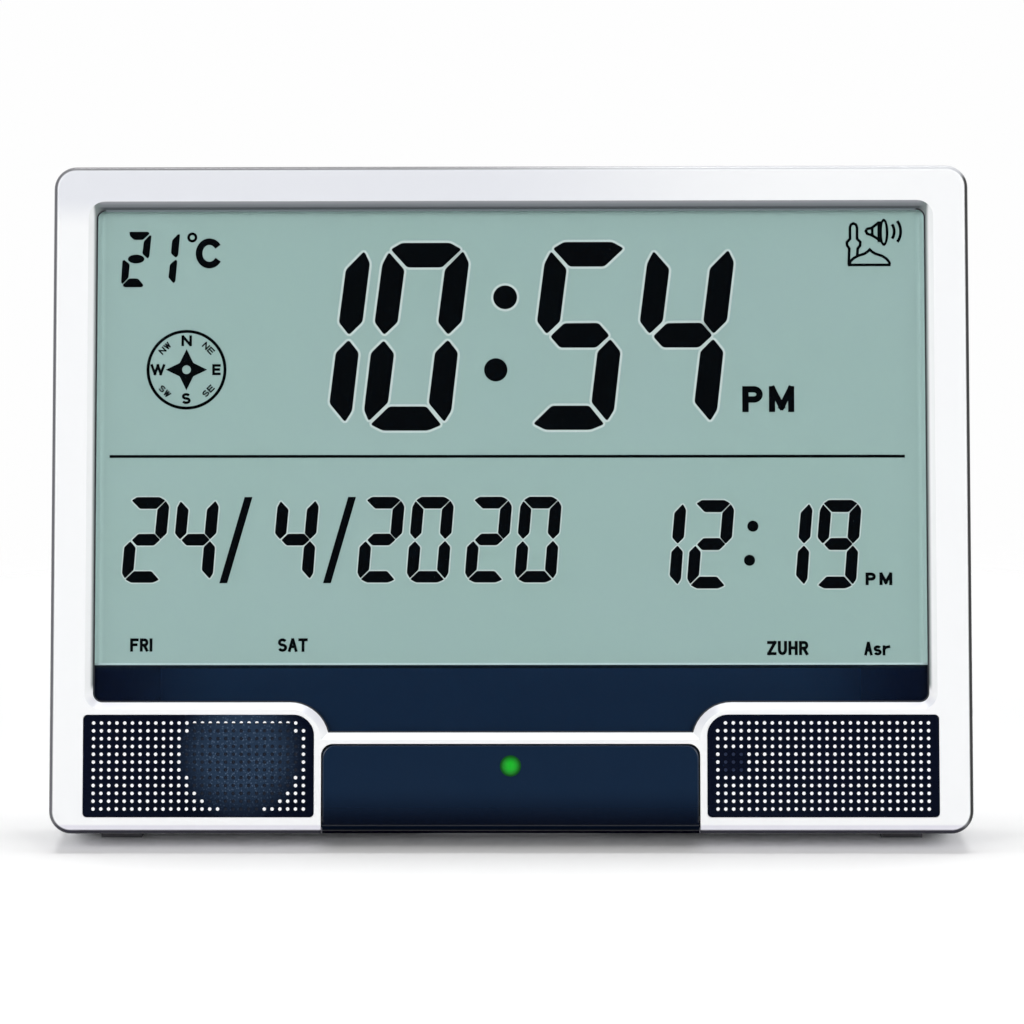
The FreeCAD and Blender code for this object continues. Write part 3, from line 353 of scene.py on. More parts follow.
def window_slope(tree, paint, place, middle):
    """The slope round the window, in painted shade: grey under the brow where it faces down,
    darkest where it meets the lens, and grey to white on the inward-facing cheeks.
    """
    across, up = place["Across"], place["Up"]
    corner = case_box("display_lens")[1]
    brow_start = corner.z - LENS_LAP - middle.z
    line_start, line_full = brow_start + BROW_LINE[0], brow_start + BROW_LINE[1]
    brow = blend(tree, ramp(tree, up, line_start, brow_start + BEVEL_DEEP),
                 srgb(110, 116, 122), srgb(166, 168, 173))
    brow = blend(tree, ramp(tree, up, line_start, line_full), brow, srgb(54, 62, 68))
    paint = blend(tree, product(tree, ramp(tree, place["Faces up"], *FACES_DOWN),
                                ramp(tree, up, brow_start - 6.0, brow_start - 3.0)), paint, brow)
    cheek_start = corner.x - LENS_LAP - middle.x
    above = ramp(tree, up, CHEEK_FOOT - middle.z, CHEEK_FOOT + 3.0 - middle.z)
    for side in (-1, 1):
        cheek = blend(tree, ramp(tree, across, side * cheek_start, side * (cheek_start + 1.1)),
                      srgb(112, 122, 122), srgb(246, 248, 249))
        inward = product(tree, above, ramp(tree, place["Faces across"], side * -0.1, side * -0.3))
        beyond_lens = ramp(tree, across, side * (cheek_start - 3.0), side * cheek_start)
        paint = blend(tree, product(tree, inward, beyond_lens), paint, cheek)
    return paint


def white_shell():
    """White shell with a painted reflection line round its front edge, painted shade on its face
    and on the slope at the window.
    """
    material = grained("white_shell", WHITE, COOL_WHITE, 0.3, drift=0.3, spread=0.1, grain=900.0,
                       bump=0.01, Coat_Roughness=0.15)
    tree, shader, paint = opened(material)
    low, high = case_box("front_bezel")
    middle = (low + high) / 2
    place = case_frame(tree, tuple(middle))
    across, up = place["Across"], place["Up"]
    right, top = (high.x - low.x) / 2, (high.z - low.z) / 2
    left, foot, face = -right, -top, low.y - middle.y

    # Mask of the painted reflection line round the front edge of the case.
    band_start = CASE_ROUND - EDGE_BAND
    band = product(tree, ramp(tree, outline_reach(tree, place, right, top),
                              band_start - 0.3, band_start + 0.3),
                   ramp(tree, place["Depth"], face + LINE_DEEP[0], face + LINE_DEEP[1]))

    # Painted shade: the lip under the key door is dark over its whole depth.
    lip = product(tree, ramp(tree, up, foot + LIP_HIGH[0], foot + LIP_HIGH[1]),
                  ramp(tree, reckon(tree, "ABSOLUTE", across), DOOR_HALF + 0.6, DOOR_HALF + 0.2))
    band = reckon(tree, "MAXIMUM", band, lip)

    # Painted shade on the white itself: greyer along the upper left, at the foot and where it faces
    # up.
    upper_left = product(tree, ramp(tree, up, top - 22.0, top - 10.0),
                         ramp(tree, across, 110.0, -20.0))
    paint = blend(tree, upper_left, paint, srgb(230, 232, 238))
    paint = blend(tree, ramp(tree, up, foot + 3.4, foot + 2.5), paint, srgb(228, 227, 236))
    paint = blend(tree, ramp(tree, place["Faces up"], *FACES_UP), paint, srgb(228, 230, 236))
    paint = window_slope(tree, paint, place, middle)

    # The painted reflection line: grey on the left, lighter along the top, dark on the right and
    # below.
    line = blend(tree, ramp(tree, across, -40.0, 70.0), srgb(104, 104, 108), srgb(190, 192, 196))
    line = blend(tree, ramp(tree, across, left + 4.0, left + 1.0), line, srgb(92, 92, 98))
    line = blend(tree, product(tree, ramp(tree, across, right - 4.0, right - 1.0),
                               ramp(tree, up, top - 1.5, top - 5.0)), line, srgb(1, 1, 3))
    line = blend(tree, ramp(tree, up, foot + 4.5, foot + 1.5), line, srgb(14, 12, 34))
    feed(tree, shader, {"Base Color": blend(tree, band, paint, line), "Metallic": lip,
                        "Coat Weight": ramp(tree, band, 0.0, 1.0, 0.3, 0.0, kind="LINEAR")})
    return material


def display_glass():
    """Grey-green LCD glass, paler along its edges: painted light that offsets the shadow of the
    window's rim.
    """
    material = grained("lcd_glass", srgb(140, 169, 163), srgb(146, 169, 170), 0.5, drift=0.6,
                       spread=0.05, grain=3000.0, bump=0.0)
    tree, shader, paint = opened(material)
    place = case_frame(tree)
    corner = case_box("display_lens")[1]
    edge_x, edge_z = corner.x - LENS_LAP, corner.z - LENS_LAP
    aside = reckon(tree, "ABSOLUTE", place["Across"])
    near = reckon(tree, "MAXIMUM",
                  ramp(tree, aside, edge_x - GLASS_ENDS[0], edge_x - GLASS_ENDS[1]),
                  ramp(tree, place["Up"], edge_z - GLASS_TOP[0], edge_z - GLASS_TOP[1]))
    feed(tree, shader, {"Base Color": blend(tree, near, paint, srgb(206, 240, 236))})
    return material


def shaded_navy(name, edge, roughness, amount):
    """Glossy navy with painted shade towards the foot of the door, the far ends of the band and on
    faces that look down.
    """
    material = dusty(name, NAVY, PALE_DUST, roughness, amount)
    tree, shader, paint = opened(material)
    place = case_frame(tree)
    aside = reckon(tree, "ABSOLUTE", place["Across"])
    paint = blend(tree, ramp(tree, place["Up"], *NAVY_FOOT), paint, edge)
    paint = blend(tree, ramp(tree, aside, *NAVY_ENDS), paint, edge)
    foot = ramp(tree, place["Faces up"], *FACES_DOWN)
    feed(tree, shader, {"Base Color": blend(tree, foot, paint, srgb(6, 16, 32)),
                        "Metallic": foot})
    return material


def sound_plate():
    """Navy plate with a painted sheen, paler blue and flecked, over the speaker behind it."""
    material = grained("navy_plate", srgb(3, 6, 20), srgb(9, 18, 40), 0.2, drift=0.7, spread=0.1,
                       grain=2600.0, bump=0.05, Specular_IOR_Level=0.3)
    tree, shader, paint = opened(material)
    place, reach = round_about(tree, *SOUND_MIDDLE)
    near = ramp(tree, reach, SOUND_RADIUS + 5.0, SOUND_RADIUS - 10.0)
    flecks = add_node(tree, "ShaderNodeTexVoronoi", {"Scale": FLECK_SCALE, "Vector": place})
    pale = ramp(tree, flecks.outputs["Distance"], 0.42, 0.12)
    speaker_sheen = blend(tree, pale, srgb(37, 54, 76), srgb(68, 86, 109))
    feed(tree, shader, {"Base Color": blend(tree, near, paint, speaker_sheen)})
    return material


# Plain finishes: colour, the colour it drifts to, roughness and whatever else is its own.
PLAIN = {
    "white_cover": ((229, 231, 235), (214, 217, 223), 0.55, {"grain": 1800.0, "bump": 0.12}),
    "reflector_film": ((190, 196, 190), (170, 176, 172), 0.4, {"Metallic": 0.6}),
    "conductive_rubber": ((38, 38, 40), (60, 60, 62), 0.7, {}),
    "natural_plastic": ((226, 226, 220), (212, 212, 204), 0.5, {}),
    "circuit_board": ((24, 92, 52), (14, 68, 38), 0.35, {"drift": 0.7}),
    "screw_steel": ((176, 178, 182), (140, 142, 146), 0.32, {"Metallic": 1.0}),
    "black_epoxy": ((22, 22, 24), (36, 36, 38), 0.5, {}),
    "can_aluminium": ((190, 192, 196), (160, 162, 166), 0.3, {"Metallic": 1.0}),
    "black_foam": ((26, 26, 28), (44, 44, 46), 0.95, {"bump": 0.6}),
    "speaker_steel": ((30, 42, 62), (40, 52, 74), 0.45, {}),
    "speaker_cloth": ((6, 14, 32), (40, 56, 82), 0.9, {"drift": 0.5, "bump": 0.5, "grain": 4000.0}),
    "paper_cone": ((34, 48, 70), (24, 36, 56), 0.8, {"bump": 0.3}),
    "ferrite": ((50, 50, 54), (70, 70, 74), 0.6, {}),
    "grey_keys": ((198, 204, 212), (182, 188, 198), 0.5, {"bump": 0.08}),
    "silicone": ((150, 154, 162), (136, 140, 148), 0.6, {}),
    "black_plastic": ((26, 27, 30), (40, 41, 44), 0.45, {"bump": 0.08}),
    "black_rubber": ((96, 96, 100), (120, 120, 124), 0.8, {"bump": 0.3}),
    "cell_jacket": ((60, 72, 86), (48, 58, 70), 0.35, {"Coat_Weight": 0.4}),
    "spring_steel": ((200, 200, 204), (170, 170, 176), 0.22, {"Metallic": 1.0}),
    "white_dots": ((254, 254, 255), (248, 249, 252), 0.5, {"bump": 0.0}),
    "sensor_gauze": ((46, 60, 92), (24, 34, 60), 0.9, {"drift": 0.8, "bump": 0.3, "grain": 3000.0}),
    "window_joint": ((38, 42, 48), (60, 64, 70), 0.5, {"bump": 0.0}),
    "band_shade": ((3, 18, 30), (6, 24, 40), 0.2, {"bump": 0.0}),
    "brow_shade_grey": ((104, 117, 122), (112, 126, 130), 0.5, {"bump": 0.0}),
    "display_foot_line": ((184, 206, 208), (174, 196, 200), 0.5, {"bump": 0.0}),
    "lcd_pale": ((190, 204, 202), (182, 198, 196), 0.4, {"drift": 0.4, "bump": 0.0}),
}

FINISHES = {name: grained(name, srgb(*base), srgb(*tint), roughness, **own)
            for name, (base, tint, roughness, own) in PLAIN.items()}
FINISHES.update({
    "white_shell": white_shell(),
    "clear_acrylic": clear_acrylic(),
    "navy_ink": shaded_navy("navy_ink", srgb(2, 12, 34), 0.12, 0.04),
    "navy_plate": sound_plate(),
    "navy_plastic": shaded_navy("navy_plastic", srgb(0, 4, 20), 0.16, 0.06),
    "lcd_glass": display_glass(),
    "green_lens": lit_lens("green_lens", srgb(2, 44, 12), srgb(12, 164, 32), 0.19),
    "lcd_ink": dusty("lcd_ink", srgb(2, 5, 8), srgb(10, 14, 16), 0.5, amount=0.2,
                     Specular_IOR_Level=0.0),
})


def finish_cad_nodes():
    """Give every CAD node the finish of its slot."""
    for entry in frame["record"]["subparts"]:
        node = frame["nodes"][entry["node"]]
        node.data.materials.clear()
        node.data.materials.append(FINISHES[entry["material_slot"]])


finish_cad_nodes()


# --------------------------
# Thin pieces drawn as outlines on a plane of the case
# --------------------------

def in_case(bm, name, material):
    """Turn a bmesh drawn in the case's frame into an object that rides the case."""
    bmesh.ops.transform(bm, matrix=CASE, verts=bm.verts)
    data = bpy.data.meshes.new(name)
    bm.to_mesh(data)
    bm.free()
    data.materials.append(material)
    piece = bpy.data.objects.new(name, data)
    bpy.context.scene.collection.objects.link(piece)
    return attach(piece, "case")


def plates(name, outlines, front, finish, thick=0.0):
    """Flat plates from outlines in (x, z): each outline is its edge and any holes in it."""
    bm = bmesh.new()
    for rings in outlines:
        part = bmesh.new()
        for ring in rings:
            corners = [part.verts.new((x, front, z)) for x, z in ring]
            for index in range(len(corners)):
                part.edges.new((corners[index - 1], corners[index]))
        bmesh.ops.triangle_fill(part, use_beauty=True, use_dissolve=False, edges=part.edges[:],
                                normal=(0, -1, 0))
        if thick:
            sheet = bmesh.ops.extrude_face_region(part, geom=part.faces[:])["geom"]
            moved = [item for item in sheet if isinstance(item, bmesh.types.BMVert)]
            bmesh.ops.translate(part, verts=moved, vec=(0, thick, 0))
        bmesh.ops.recalc_face_normals(part, faces=part.faces[:])
        scrap = bpy.data.meshes.new("scrap")
        part.to_mesh(scrap)
        part.free()
        bm.from_mesh(scrap)
        bpy.data.meshes.remove(scrap)
    piece = in_case(bm, name, FINISHES[finish])
    return piece


def circle(x, z, radius, count=32, start=0.0, stretch=1.0):
    turns = [start + 2 * math.pi * turn / count for turn in range(count)]
    return [(x + radius * math.cos(turn), z + radius * stretch * math.sin(turn))
            for turn in turns]


def bar(left, low, right, high):
    return [(left, low), (right, low), (right, high), (left, high)]


def grown(ring, reach):
    """An outline moved outwards."""
    turning = sum(ring[index - 1][0] * point[1] - point[0] * ring[index - 1][1]
                  for index, point in enumerate(ring))
    side = 1 if turning > 0 else -1
    moved = []
    for index, point in enumerate(ring):
        before, after = Vector(ring[index - 1]), Vector(ring[(index + 1) % len(ring)])
        along = (after - before).normalized()
        moved.append((point[0] + along.y * reach * side, point[1] - along.x * reach * side))
    return moved


def eased(corners, radius, steps=3):
    """A polygon with its corners rounded off."""
    rounded = []
    for index, corner in enumerate(corners):
        here = Vector(corner)
        before, after = Vector(corners[index - 1]), Vector(corners[(index + 1) % len(corners)])
        back, ahead = before - here, after - here
        cut = min(radius, back.length / 2.2, ahead.length / 2.2)
        first, last = here + back.normalized() * cut, here + ahead.normalized() * cut
        for step in range(steps + 1):
            part = step / steps
            point = first * (1 - part) ** 2 + here * (2 * part * (1 - part)) + last * part ** 2
            rounded.append((point.x, point.y))
    return rounded


def stroke(points, width, cap=0.0):
    """Outline of a line of a given width through points, lengthened by cap at both ends."""
    line = [Vector(point) for point in points]
    line[0] = line[0] + (line[0] - line[1]).normalized() * cap
    line[-1] = line[-1] + (line[-1] - line[-2]).normalized() * cap
    left, right = [], []
    for index, here in enumerate(line):
        before = line[index - 1] if index else here * 2 - line[1]
        after = line[index + 1] if index + 1 < len(line) else here * 2 - before
        first, second = (here - before).normalized(), (after - here).normalized()
        along = (first + second).normalized()
        across = Vector((-along.y, along.x))
        reach = width / 2 / max(0.5, across.dot(Vector((-first.y, first.x))))
        left.append(tuple(here + across * reach))
        right.append(tuple(here - across * reach))
    return left + right[::-1]


def turned(outlines, x, z, angle):
    """Outlines turned about a point."""
    swing = Matrix.Rotation(math.radians(angle), 2)
    pin = Vector((x, z))
    return [[[tuple(pin + swing @ (Vector(point) - pin)) for point in ring] for ring in rings]
            for rings in outlines]


def bow(x, z, wide, high, start, end, count=10):
    """Points along part of an oval, from start to end in degrees."""
    turns = [math.radians(start + (end - start) * step / count) for step in range(count + 1)]
    return [(x + wide * math.cos(turn), z + high * math.sin(turn)) for turn in turns]


# --------------------------
# Display: dark segments printed in the liquid crystal, with a pale line round each
# --------------------------

INK_FRONT = 4.66           # plane of the segments, just in front of the front glass
PALE_FRONT = 4.68          # plane of the pale lines behind them
SLANT = 0.128              # how far a large digit leans to the right for its height
SMALL_SLANT = 0.09         # the same for the digits of the lower row
SMALL_BOLD = 0.12          # how much the lower row's segments are fattened on every side
DIGIT_HIGH = 63.7          # height of a digit in the table of segments
MAIN_HIGH = 64.5           # height of the large digits
DIGIT_EASE = 0.9           # rounding of a segment's corners in that table

# One large digit, upright, measured from the middle of its foot.
SEGMENTS = {
    "a": [(-12.8, 61.5), (-9.3, 63.7), (7.0, 63.7), (11.2, 61.5), (5.4, 55.3), (-6.4, 55.3)],
    "b": [(11.8, 60.9), (14.3, 56.8), (14.4, 36.9), (10.4, 32.4), (6.4, 36.7), (6.4, 54.6)],
    "c": [(10.5, 30.8), (14.5, 26.4), (14.8, 6.7), (12.9, 2.9), (6.8, 9.3), (6.7, 26.4)],
    "d": [(-11.9, 2.1), (-6.4, 8.2), (6.2, 8.2), (12.1, 1.9), (7.7, 0.0), (-7.5, 0.0)],
    "e": [(-11.1, 30.6), (-7.0, 26.1), (-6.9, 9.5), (-12.6, 3.2), (-14.7, 7.0), (-14.9, 26.3)],
    "f": [(-13.3, 60.6), (-15.0, 56.3), (-15.0, 36.7), (-11.2, 32.4), (-7.2, 36.7), (-7.2, 54.5)],
    "g": [(-9.9, 31.6), (-5.8, 36.1), (5.8, 36.2), (10.1, 31.9), (6.1, 27.8), (-6.1, 27.8)],
}
# The segments that each digit lights.
LIT = {"0": "abcdef", "1": "bc", "2": "abdeg", "4": "bcfg", "5": "acdfg", "9": "abcdfg"}


def digit(character, x, z, high, wide=1.0, slant=SLANT, bold=0.0):
    """Outlines of a segment digit whose foot is centred on (x, z)."""
    scale = high / DIGIT_HIGH
    outlines = []
    for name in LIT[character]:
        ring = [(x + u * scale * wide + v * scale * slant, z + v * scale)
                for u, v in SEGMENTS[name]]
        outlines.append([eased(grown(ring, bold), DIGIT_EASE * scale)])
    return outlines


def small_digits(places, z, high, wide):
    """Digits of the lower row; places holds each digit and the middle of its foot."""
    outlines = []
    for character, x in places:
        outlines += digit(character, x, z, high, wide, SMALL_SLANT, SMALL_BOLD)
    return outlines


# Letters in a box one wide and one high, each line from point to point.
STEM = [(0, 0), (0, 1)]
FAR_STEM = [(1, 0), (1, 1)]
HEAD = [(0, 1), (1, 1)]
FOOT = [(0, 0), (1, 0)]
UPPER_BOWL = [(0, 1), (0.6, 1)] + bow(0.6, 0.74, 0.4, 0.26, 80, -80) + [(0.6, 0.48), (0, 0.48)]
LETTERS = {
    "A": [[(0, 0), (0.46, 1)], [(0.54, 1), (1, 0)], [(0.24, 0.34), (0.76, 0.34)]],
    "C": [bow(0.5, 0.5, 0.5, 0.5, 34, 328, 22)],
    "E": [STEM, HEAD, [(0, 0.52), (0.9, 0.52)], FOOT],
    "F": [STEM, HEAD, [(0, 0.52), (0.8, 0.52)]],
    "H": [STEM, FAR_STEM, [(0, 0.52), (1, 0.52)]],
    "I": [[(0.5, 0), (0.5, 1)]],
    "M": [STEM, [(0.03, 1), (0.5, 0.12)], [(0.5, 0.12), (0.97, 1)], FAR_STEM[::-1]],
    "N": [STEM, [(0.04, 1), (0.96, 0)], FAR_STEM],
    "P": [STEM, UPPER_BOWL],
    "R": [STEM, UPPER_BOWL, [(0.5, 0.48), (1, 0)]],
    "S": [bow(0.5, 0.755, 0.47, 0.245, 22, 255) + bow(0.5, 0.255, 0.5, 0.255, 80, -160)],
    "T": [HEAD, [(0.5, 0), (0.5, 1)]],
    "U": [[(0, 1), (0, 0.4)] + bow(0.5, 0.38, 0.5, 0.38, 190, 350) + [(1, 0.4), (1, 1)]],
    "W": [[(0, 1), (0.26, 0)], [(0.26, 0), (0.5, 1)], [(0.5, 1), (0.74, 0)],
          [(0.74, 0), (1, 1)]],
    "Z": [HEAD, [(1, 1), (0, 0)], FOOT],
    "r": [STEM, [(0, 0.6), (0.3, 0.9), (0.9, 1)]],
}
SMALL_LETTER = 0.74        # height of a small letter against a capital


def letter(character, x, z, wide, high, pen):
    """Outlines of a plain letter, from its lower left corner."""
    half = pen / 2
    span, rise = wide - pen, high - pen
    cap = 0.0 if character in "CS" else half
    return [[stroke([(x + half + across * span, z + half + up * rise) for across, up in line],
                    pen, cap)] for line in LETTERS[character]]


def word(text, x, z, high, pen, pitch, wide=0.8):
    """Outlines of a short word of even letters; each letter but I is wide times the pitch."""
    outlines = []
    for character in text:
        room = pen if character == "I" else pitch * wide
        tall = high * (SMALL_LETTER if character.islower() else 1.0)
        shape = "S" if character == "s" else character
        outlines += letter(shape, x, z, room, tall, pen)
        x += room + pitch * (1 - wide)
    return outlines


def main_time():
    outlines = []
    for character, x, z in (("1", -69.9, 136.6), ("0", -36.0, 136.6), ("5", 19.5, 136.8),
                            ("4", 54.6, 136.8)):
        outlines += digit(character, x, z, MAIN_HIGH)
    outlines += [[circle(-1.8, 182.3, 4.1)], [circle(-5.0, 157.4, 4.0)]]
    outlines += letter("P", 79.0, 142.8, 7.0, 8.9, 2.2) + letter("M", 88.1, 142.8, 8.6, 8.9, 2.1)
    return outlines


def date_row():
    outlines = small_digits((("2", -125.5), ("4", -108.6), ("4", -74.5), ("2", -45.3),
                             ("0", -28.5), ("2", -8.7), ("0", 8.2)), 84.9, 29.0, 1.04)
    low, high = 84.6, 114.0
    for foot in (-99.1, -63.8):
        outlines.append([[(foot, low), (foot + 2.7, low), (foot + 11.2, high),
                          (foot + 8.5, high)]])
    return outlines


def second_time():
    outlines = small_digits((("1", 50.5), ("2", 66.8), ("1", 93.4), ("9", 110.0)),
                            82.8, 29.9, 1.01)
    outlines += [[circle(82.4, 103.9, 1.9)], [circle(81.2, 92.3, 1.9)]]
    outlines += letter("P", 120.5, 83.8, 3.5, 4.3, 1.1) + letter("M", 125.2, 83.8, 4.4, 4.3, 1.1)
    return outlines


def temperature():
    """Degrees Celsius with a small segment numeral pair."""
    two = [[(-130.6, 205.0), (-124.1, 205.0), (-123.7, 204.5), (-126.0, 202.4),
            (-128.9, 202.4), (-130.3, 203.7)],
           [(-123.1, 203.8), (-123.8, 196.6), (-124.2, 195.9), (-126.0, 197.6),
            (-125.5, 201.8), (-123.6, 203.8)],
           [(-132.4, 195.4), (-130.5, 193.9), (-130.9, 189.3), (-132.9, 187.1),
            (-133.2, 187.7), (-132.8, 195.0)],
           [(-132.8, 186.6), (-130.6, 188.9), (-127.6, 188.9), (-125.7, 186.7),
            (-126.1, 186.1), (-132.1, 186.1)]]
    one = [[(-113.3, 204.2), (-113.9, 197.0), (-114.6, 196.2), (-116.2, 197.7),
            (-115.8, 202.1), (-113.8, 204.2)],
           [(-114.6, 195.4), (-114.2, 195.0), (-114.8, 188.0), (-115.3, 187.4),
            (-117.0, 189.4), (-116.5, 193.8)]]
    outlines = [[eased(grown(ring, 0.12), 0.4)] for ring in two + one]
    outlines.append([circle(-128.2, 195.7, 2.85, 24, stretch=0.54)])
    outlines.append([circle(-109.0, 203.1, 1.75, 24), circle(-109.0, 203.1, 0.8, 24)])
    return outlines + letter("C", -107.8, 192.4, 9.4, 10.4, 2.3)


def day_labels():
    """Short labels of the days and of the two prayers beside them."""
    return (word("FRI", -129.3, 61.4, 4.5, 1.0, 3.3, 0.88)
            + word("SAT", -79.1, 61.3, 4.6, 1.0, 3.5, 0.92)
            + word("ZUHR", 87.0, 60.1, 4.8, 1.05, 3.6, 0.88)
            + word("Asr", 119.9, 60.0, 4.6, 0.95, 3.1, 0.9))


def compass():
    x, z = -110.7, 157.6
    outlines = [[circle(x, z, 13.7, 64), circle(x, z, 12.65, 64)]]
    star = []
    for turn in range(8):
        reach = 7.1 if turn % 2 == 0 else 3.3
        angle = turn * math.pi / 4
        star.append((x + reach * math.sin(angle), z + reach * math.cos(angle)))
    outlines.append([star, circle(x, z, 1.5, 20)])
    pen = 0.9
    for point, across, up, wide, high in (
            ("N", -1.8, 8.1, 3.6, 3.7), ("S", -1.6, -11.8, 3.1, 3.8),
            ("E", 8.8, -1.9, 2.9, 3.8), ("W", -12.3, -1.9, 5.0, 3.8)):
        outlines += letter(point, x + across, z + up, wide, high, pen)
    for across, up, pair, swing in ((1, 1, "NE", -45), (1, -1, "SE", 45), (-1, 1, "NW", 45),
                                    (-1, -1, "SW", -45)):
        pair_x, pair_z = x + across * 7.45, z + up * 7.35
        small = word(pair, pair_x - 2.2, pair_z - 1.1, 2.2, 0.5, 2.35, 0.9)
        outlines += turned(small, pair_x, pair_z, swing)
    return outlines


def call_icon():
    """A domed hall with a tower, and a loudspeaker beside it, all in line work."""
    tower = [(115.6, 193.2), (115.8, 198.9), (115.1, 199.9), (115.0, 201.0), (116.1, 202.2),
             (116.1, 206.2), (116.5, 207.1), (117.3, 207.5), (118.1, 207.1), (118.5, 206.2),
             (118.5, 202.2), (119.6, 201.1), (119.5, 199.8), (118.7, 198.9), (118.5, 196.5)]
    dome = [(115.8, 193.4), (116.3, 194.6), (117.4, 195.6), (118.9, 196.4), (121.1, 197.1),
            (122.1, 197.8), (122.8, 198.5), (123.5, 197.8), (124.6, 197.1), (127.0, 196.3),
            (128.5, 195.3), (129.3, 194.3), (129.7, 193.4)]
    horn = [(125.7, 202.1), (123.4, 203.5), (122.0, 203.9), (121.5, 204.8), (122.0, 205.6),
            (123.5, 205.9), (125.7, 207.6)]
    ground, throat = [(115.3, 193.2), (129.9, 193.2)], [(123.7, 205.9), (123.7, 203.5)]
    outlines = [[stroke(line, 0.95)] for line in (tower, dome, horn, ground, throat)]
    outlines.append([stroke([(126.1, 208.2), (126.1, 201.0)], 1.3)])
    outlines.append([circle(127.65, 204.4, 1.6, 28, stretch=2.95),
                     circle(127.65, 204.4, 0.65, 28, stretch=5.6)])
    for middle_x, wide, high in ((129.4, 1.8, 3.0), (130.6, 2.8, 4.4)):
        outlines.append([stroke(bow(middle_x, 204.7, wide, high, -55, 55), 1.0)])
    return outlines


STEP_X = 74.7              # the window's lower edge steps down here, round a quarter arc
STEP_ROUND = 13.3
STEP_MIDDLE = 30.9
WINDOW_ROUND = 3.2


def window_ring(inset):
    """The window's outline, drawn inside it by the given amount."""
    low, high = case_box("display_lens")
    half, top = high.x - LENS_LAP - inset, high.z - LENS_LAP - inset
    sill, base = low.z + LENS_LAP + inset, STEP_MIDDLE + STEP_ROUND + inset
    swing, corner = STEP_ROUND + inset, WINDOW_ROUND - inset
    last = math.acos((sill - STEP_MIDDLE) / swing)
    right = []
    for step in range(11):
        turn = math.pi / 2 + last * (1 - step / 10)
        right.append((STEP_X + swing * math.cos(turn), STEP_MIDDLE + swing * math.sin(turn)))
    for begin, z in ((-math.pi / 2, base + corner), (0.0, top - corner)):
        for step in range(9):
            turn = begin + step / 8 * math.pi / 2
            right.append((half - corner + corner * math.cos(turn), z + corner * math.sin(turn)))
    return right + [(-x, z) for x, z in reversed(right)]


def window_trim():
    """The dark joint round the lens, a grey strip of painted shade under the brow over it, and the
    edges of the navy band, with a line of painted shade along its top.
    """
    lens_front = case_box("display_lens")[0].y
    mask_low, mask_high = case_box("navy_mask")
    mask_front, mask_top = mask_low.y - 0.06, mask_high.z
    plates("window_joint", [[window_ring(-0.02), window_ring(0.5)]], lens_front - 0.05,
           "window_joint")

    lower = [(x, z) for x, z in window_ring(-0.5) if z < mask_top]
    edge = max(x for x, z in lower)
    half_count = len(lower) // 2
    band = lower[:half_count] + [(edge, mask_top), (-edge, mask_top)] + lower[half_count:]
    plates("navy_band", [[band]], mask_front, "navy_ink")
    # A dark line of painted shade along the top of the band.
    plates("band_shade", [[bar(-edge, mask_top - 1.1, edge, mask_top)]], mask_front - 0.02,
           "band_shade")

    # A grey strip of painted shade on the lens, under the brow.
    ring = window_ring(0.0)
    top, wide = max(z for x, z in ring), max(x for x, z in ring) - WINDOW_ROUND
    plates("brow_line", [[bar(-wide, top - 0.75, wide, top)]], lens_front - 0.07, "brow_shade_grey")
    half = case_box("lcd_panel")[1].x - 2.4
    plates("display_foot_line", [[bar(-half, 56.9, half, 57.5)]], INK_FRONT,
           "display_foot_line")


def draw_display():
    """Every printed sign of the display, and the pale lines that show behind the digits."""
    divider = [(-136.8, 128.4), (134.2, 128.2), (134.2, 127.2), (-136.8, 127.4)]
    signs = {"lcd_main_time": main_time(), "lcd_date": date_row(),
             "lcd_second_time": second_time(), "lcd_temperature": temperature(),
             "lcd_day_labels": day_labels(), "lcd_compass": compass(),
             "lcd_call_icon": call_icon(), "lcd_divider": [[divider]]}
    for name, outlines in signs.items():
        plates(name, outlines, INK_FRONT, "lcd_ink")
    # Round the digits and the upper dot of the large colon, not round the slashes.
    rimmed = {"lcd_pale_main": (signs["lcd_main_time"][:18], 0.75),
              "lcd_pale_date": (signs["lcd_date"][:-2], 0.4),
              "lcd_pale_second": (signs["lcd_second_time"][:15], 0.4)}
    for name, (segments, reach) in rimmed.items():
        rims = [[grown(rings[0], reach)] for rings in segments]
        plates(name, rims, PALE_FRONT, "lcd_pale")


draw_display()
window_trim()


# --------------------------
# Perforated plates of the two pods, and what lies close behind them
# --------------------------

HOLE_PITCH = 2.63
HOLE_RADIUS = 0.62
HOLE_COLUMNS = 28
HOLE_ROWS = 12
CORNER_ROUND = 6.9         # the upper corner nearest the middle
CORNER_SMALL = 1.5
FLAT_BELOW = 2.75          # the top of the speaker's opening, below the top of its pod
SENSOR_HALF = 4.2
BACKING_INSET = 0.6
PLATE_THICK = 0.06
BACKING_GAP = 0.02         # from the back of a plate to the white behind it
BACKING_THICK = 0.35
CLOTH_GAP = 0.3            # from the back of a plate to the cloth or gauze


def hole_at(middle, number, count):
    """Place of a hole, or of the space between two, in a row of count holes."""
    return middle + (number - (count - 1) / 2) * HOLE_PITCH


def plate_edge(low, high, side):
    """Edge of a plate, rounded most in the upper corner nearest the middle of the case."""
    corners = [(low.x, low.z, CORNER_SMALL, 180), (high.x, low.z, CORNER_SMALL, 270),
               (high.x, high.z, CORNER_SMALL if side > 0 else CORNER_ROUND, 0),
               (low.x, high.z, CORNER_ROUND if side > 0 else CORNER_SMALL, 90)]
    edge = []
    for x, z, radius, begin in corners:
        turn_x = x + (radius if x == low.x else -radius)
        turn_z = z + (radius if z == low.z else -radius)
        for step in range(7):
            turn = math.radians(begin + 15 * step)
            edge.append((turn_x + radius * math.cos(turn), turn_z + radius * math.sin(turn)))
    return edge


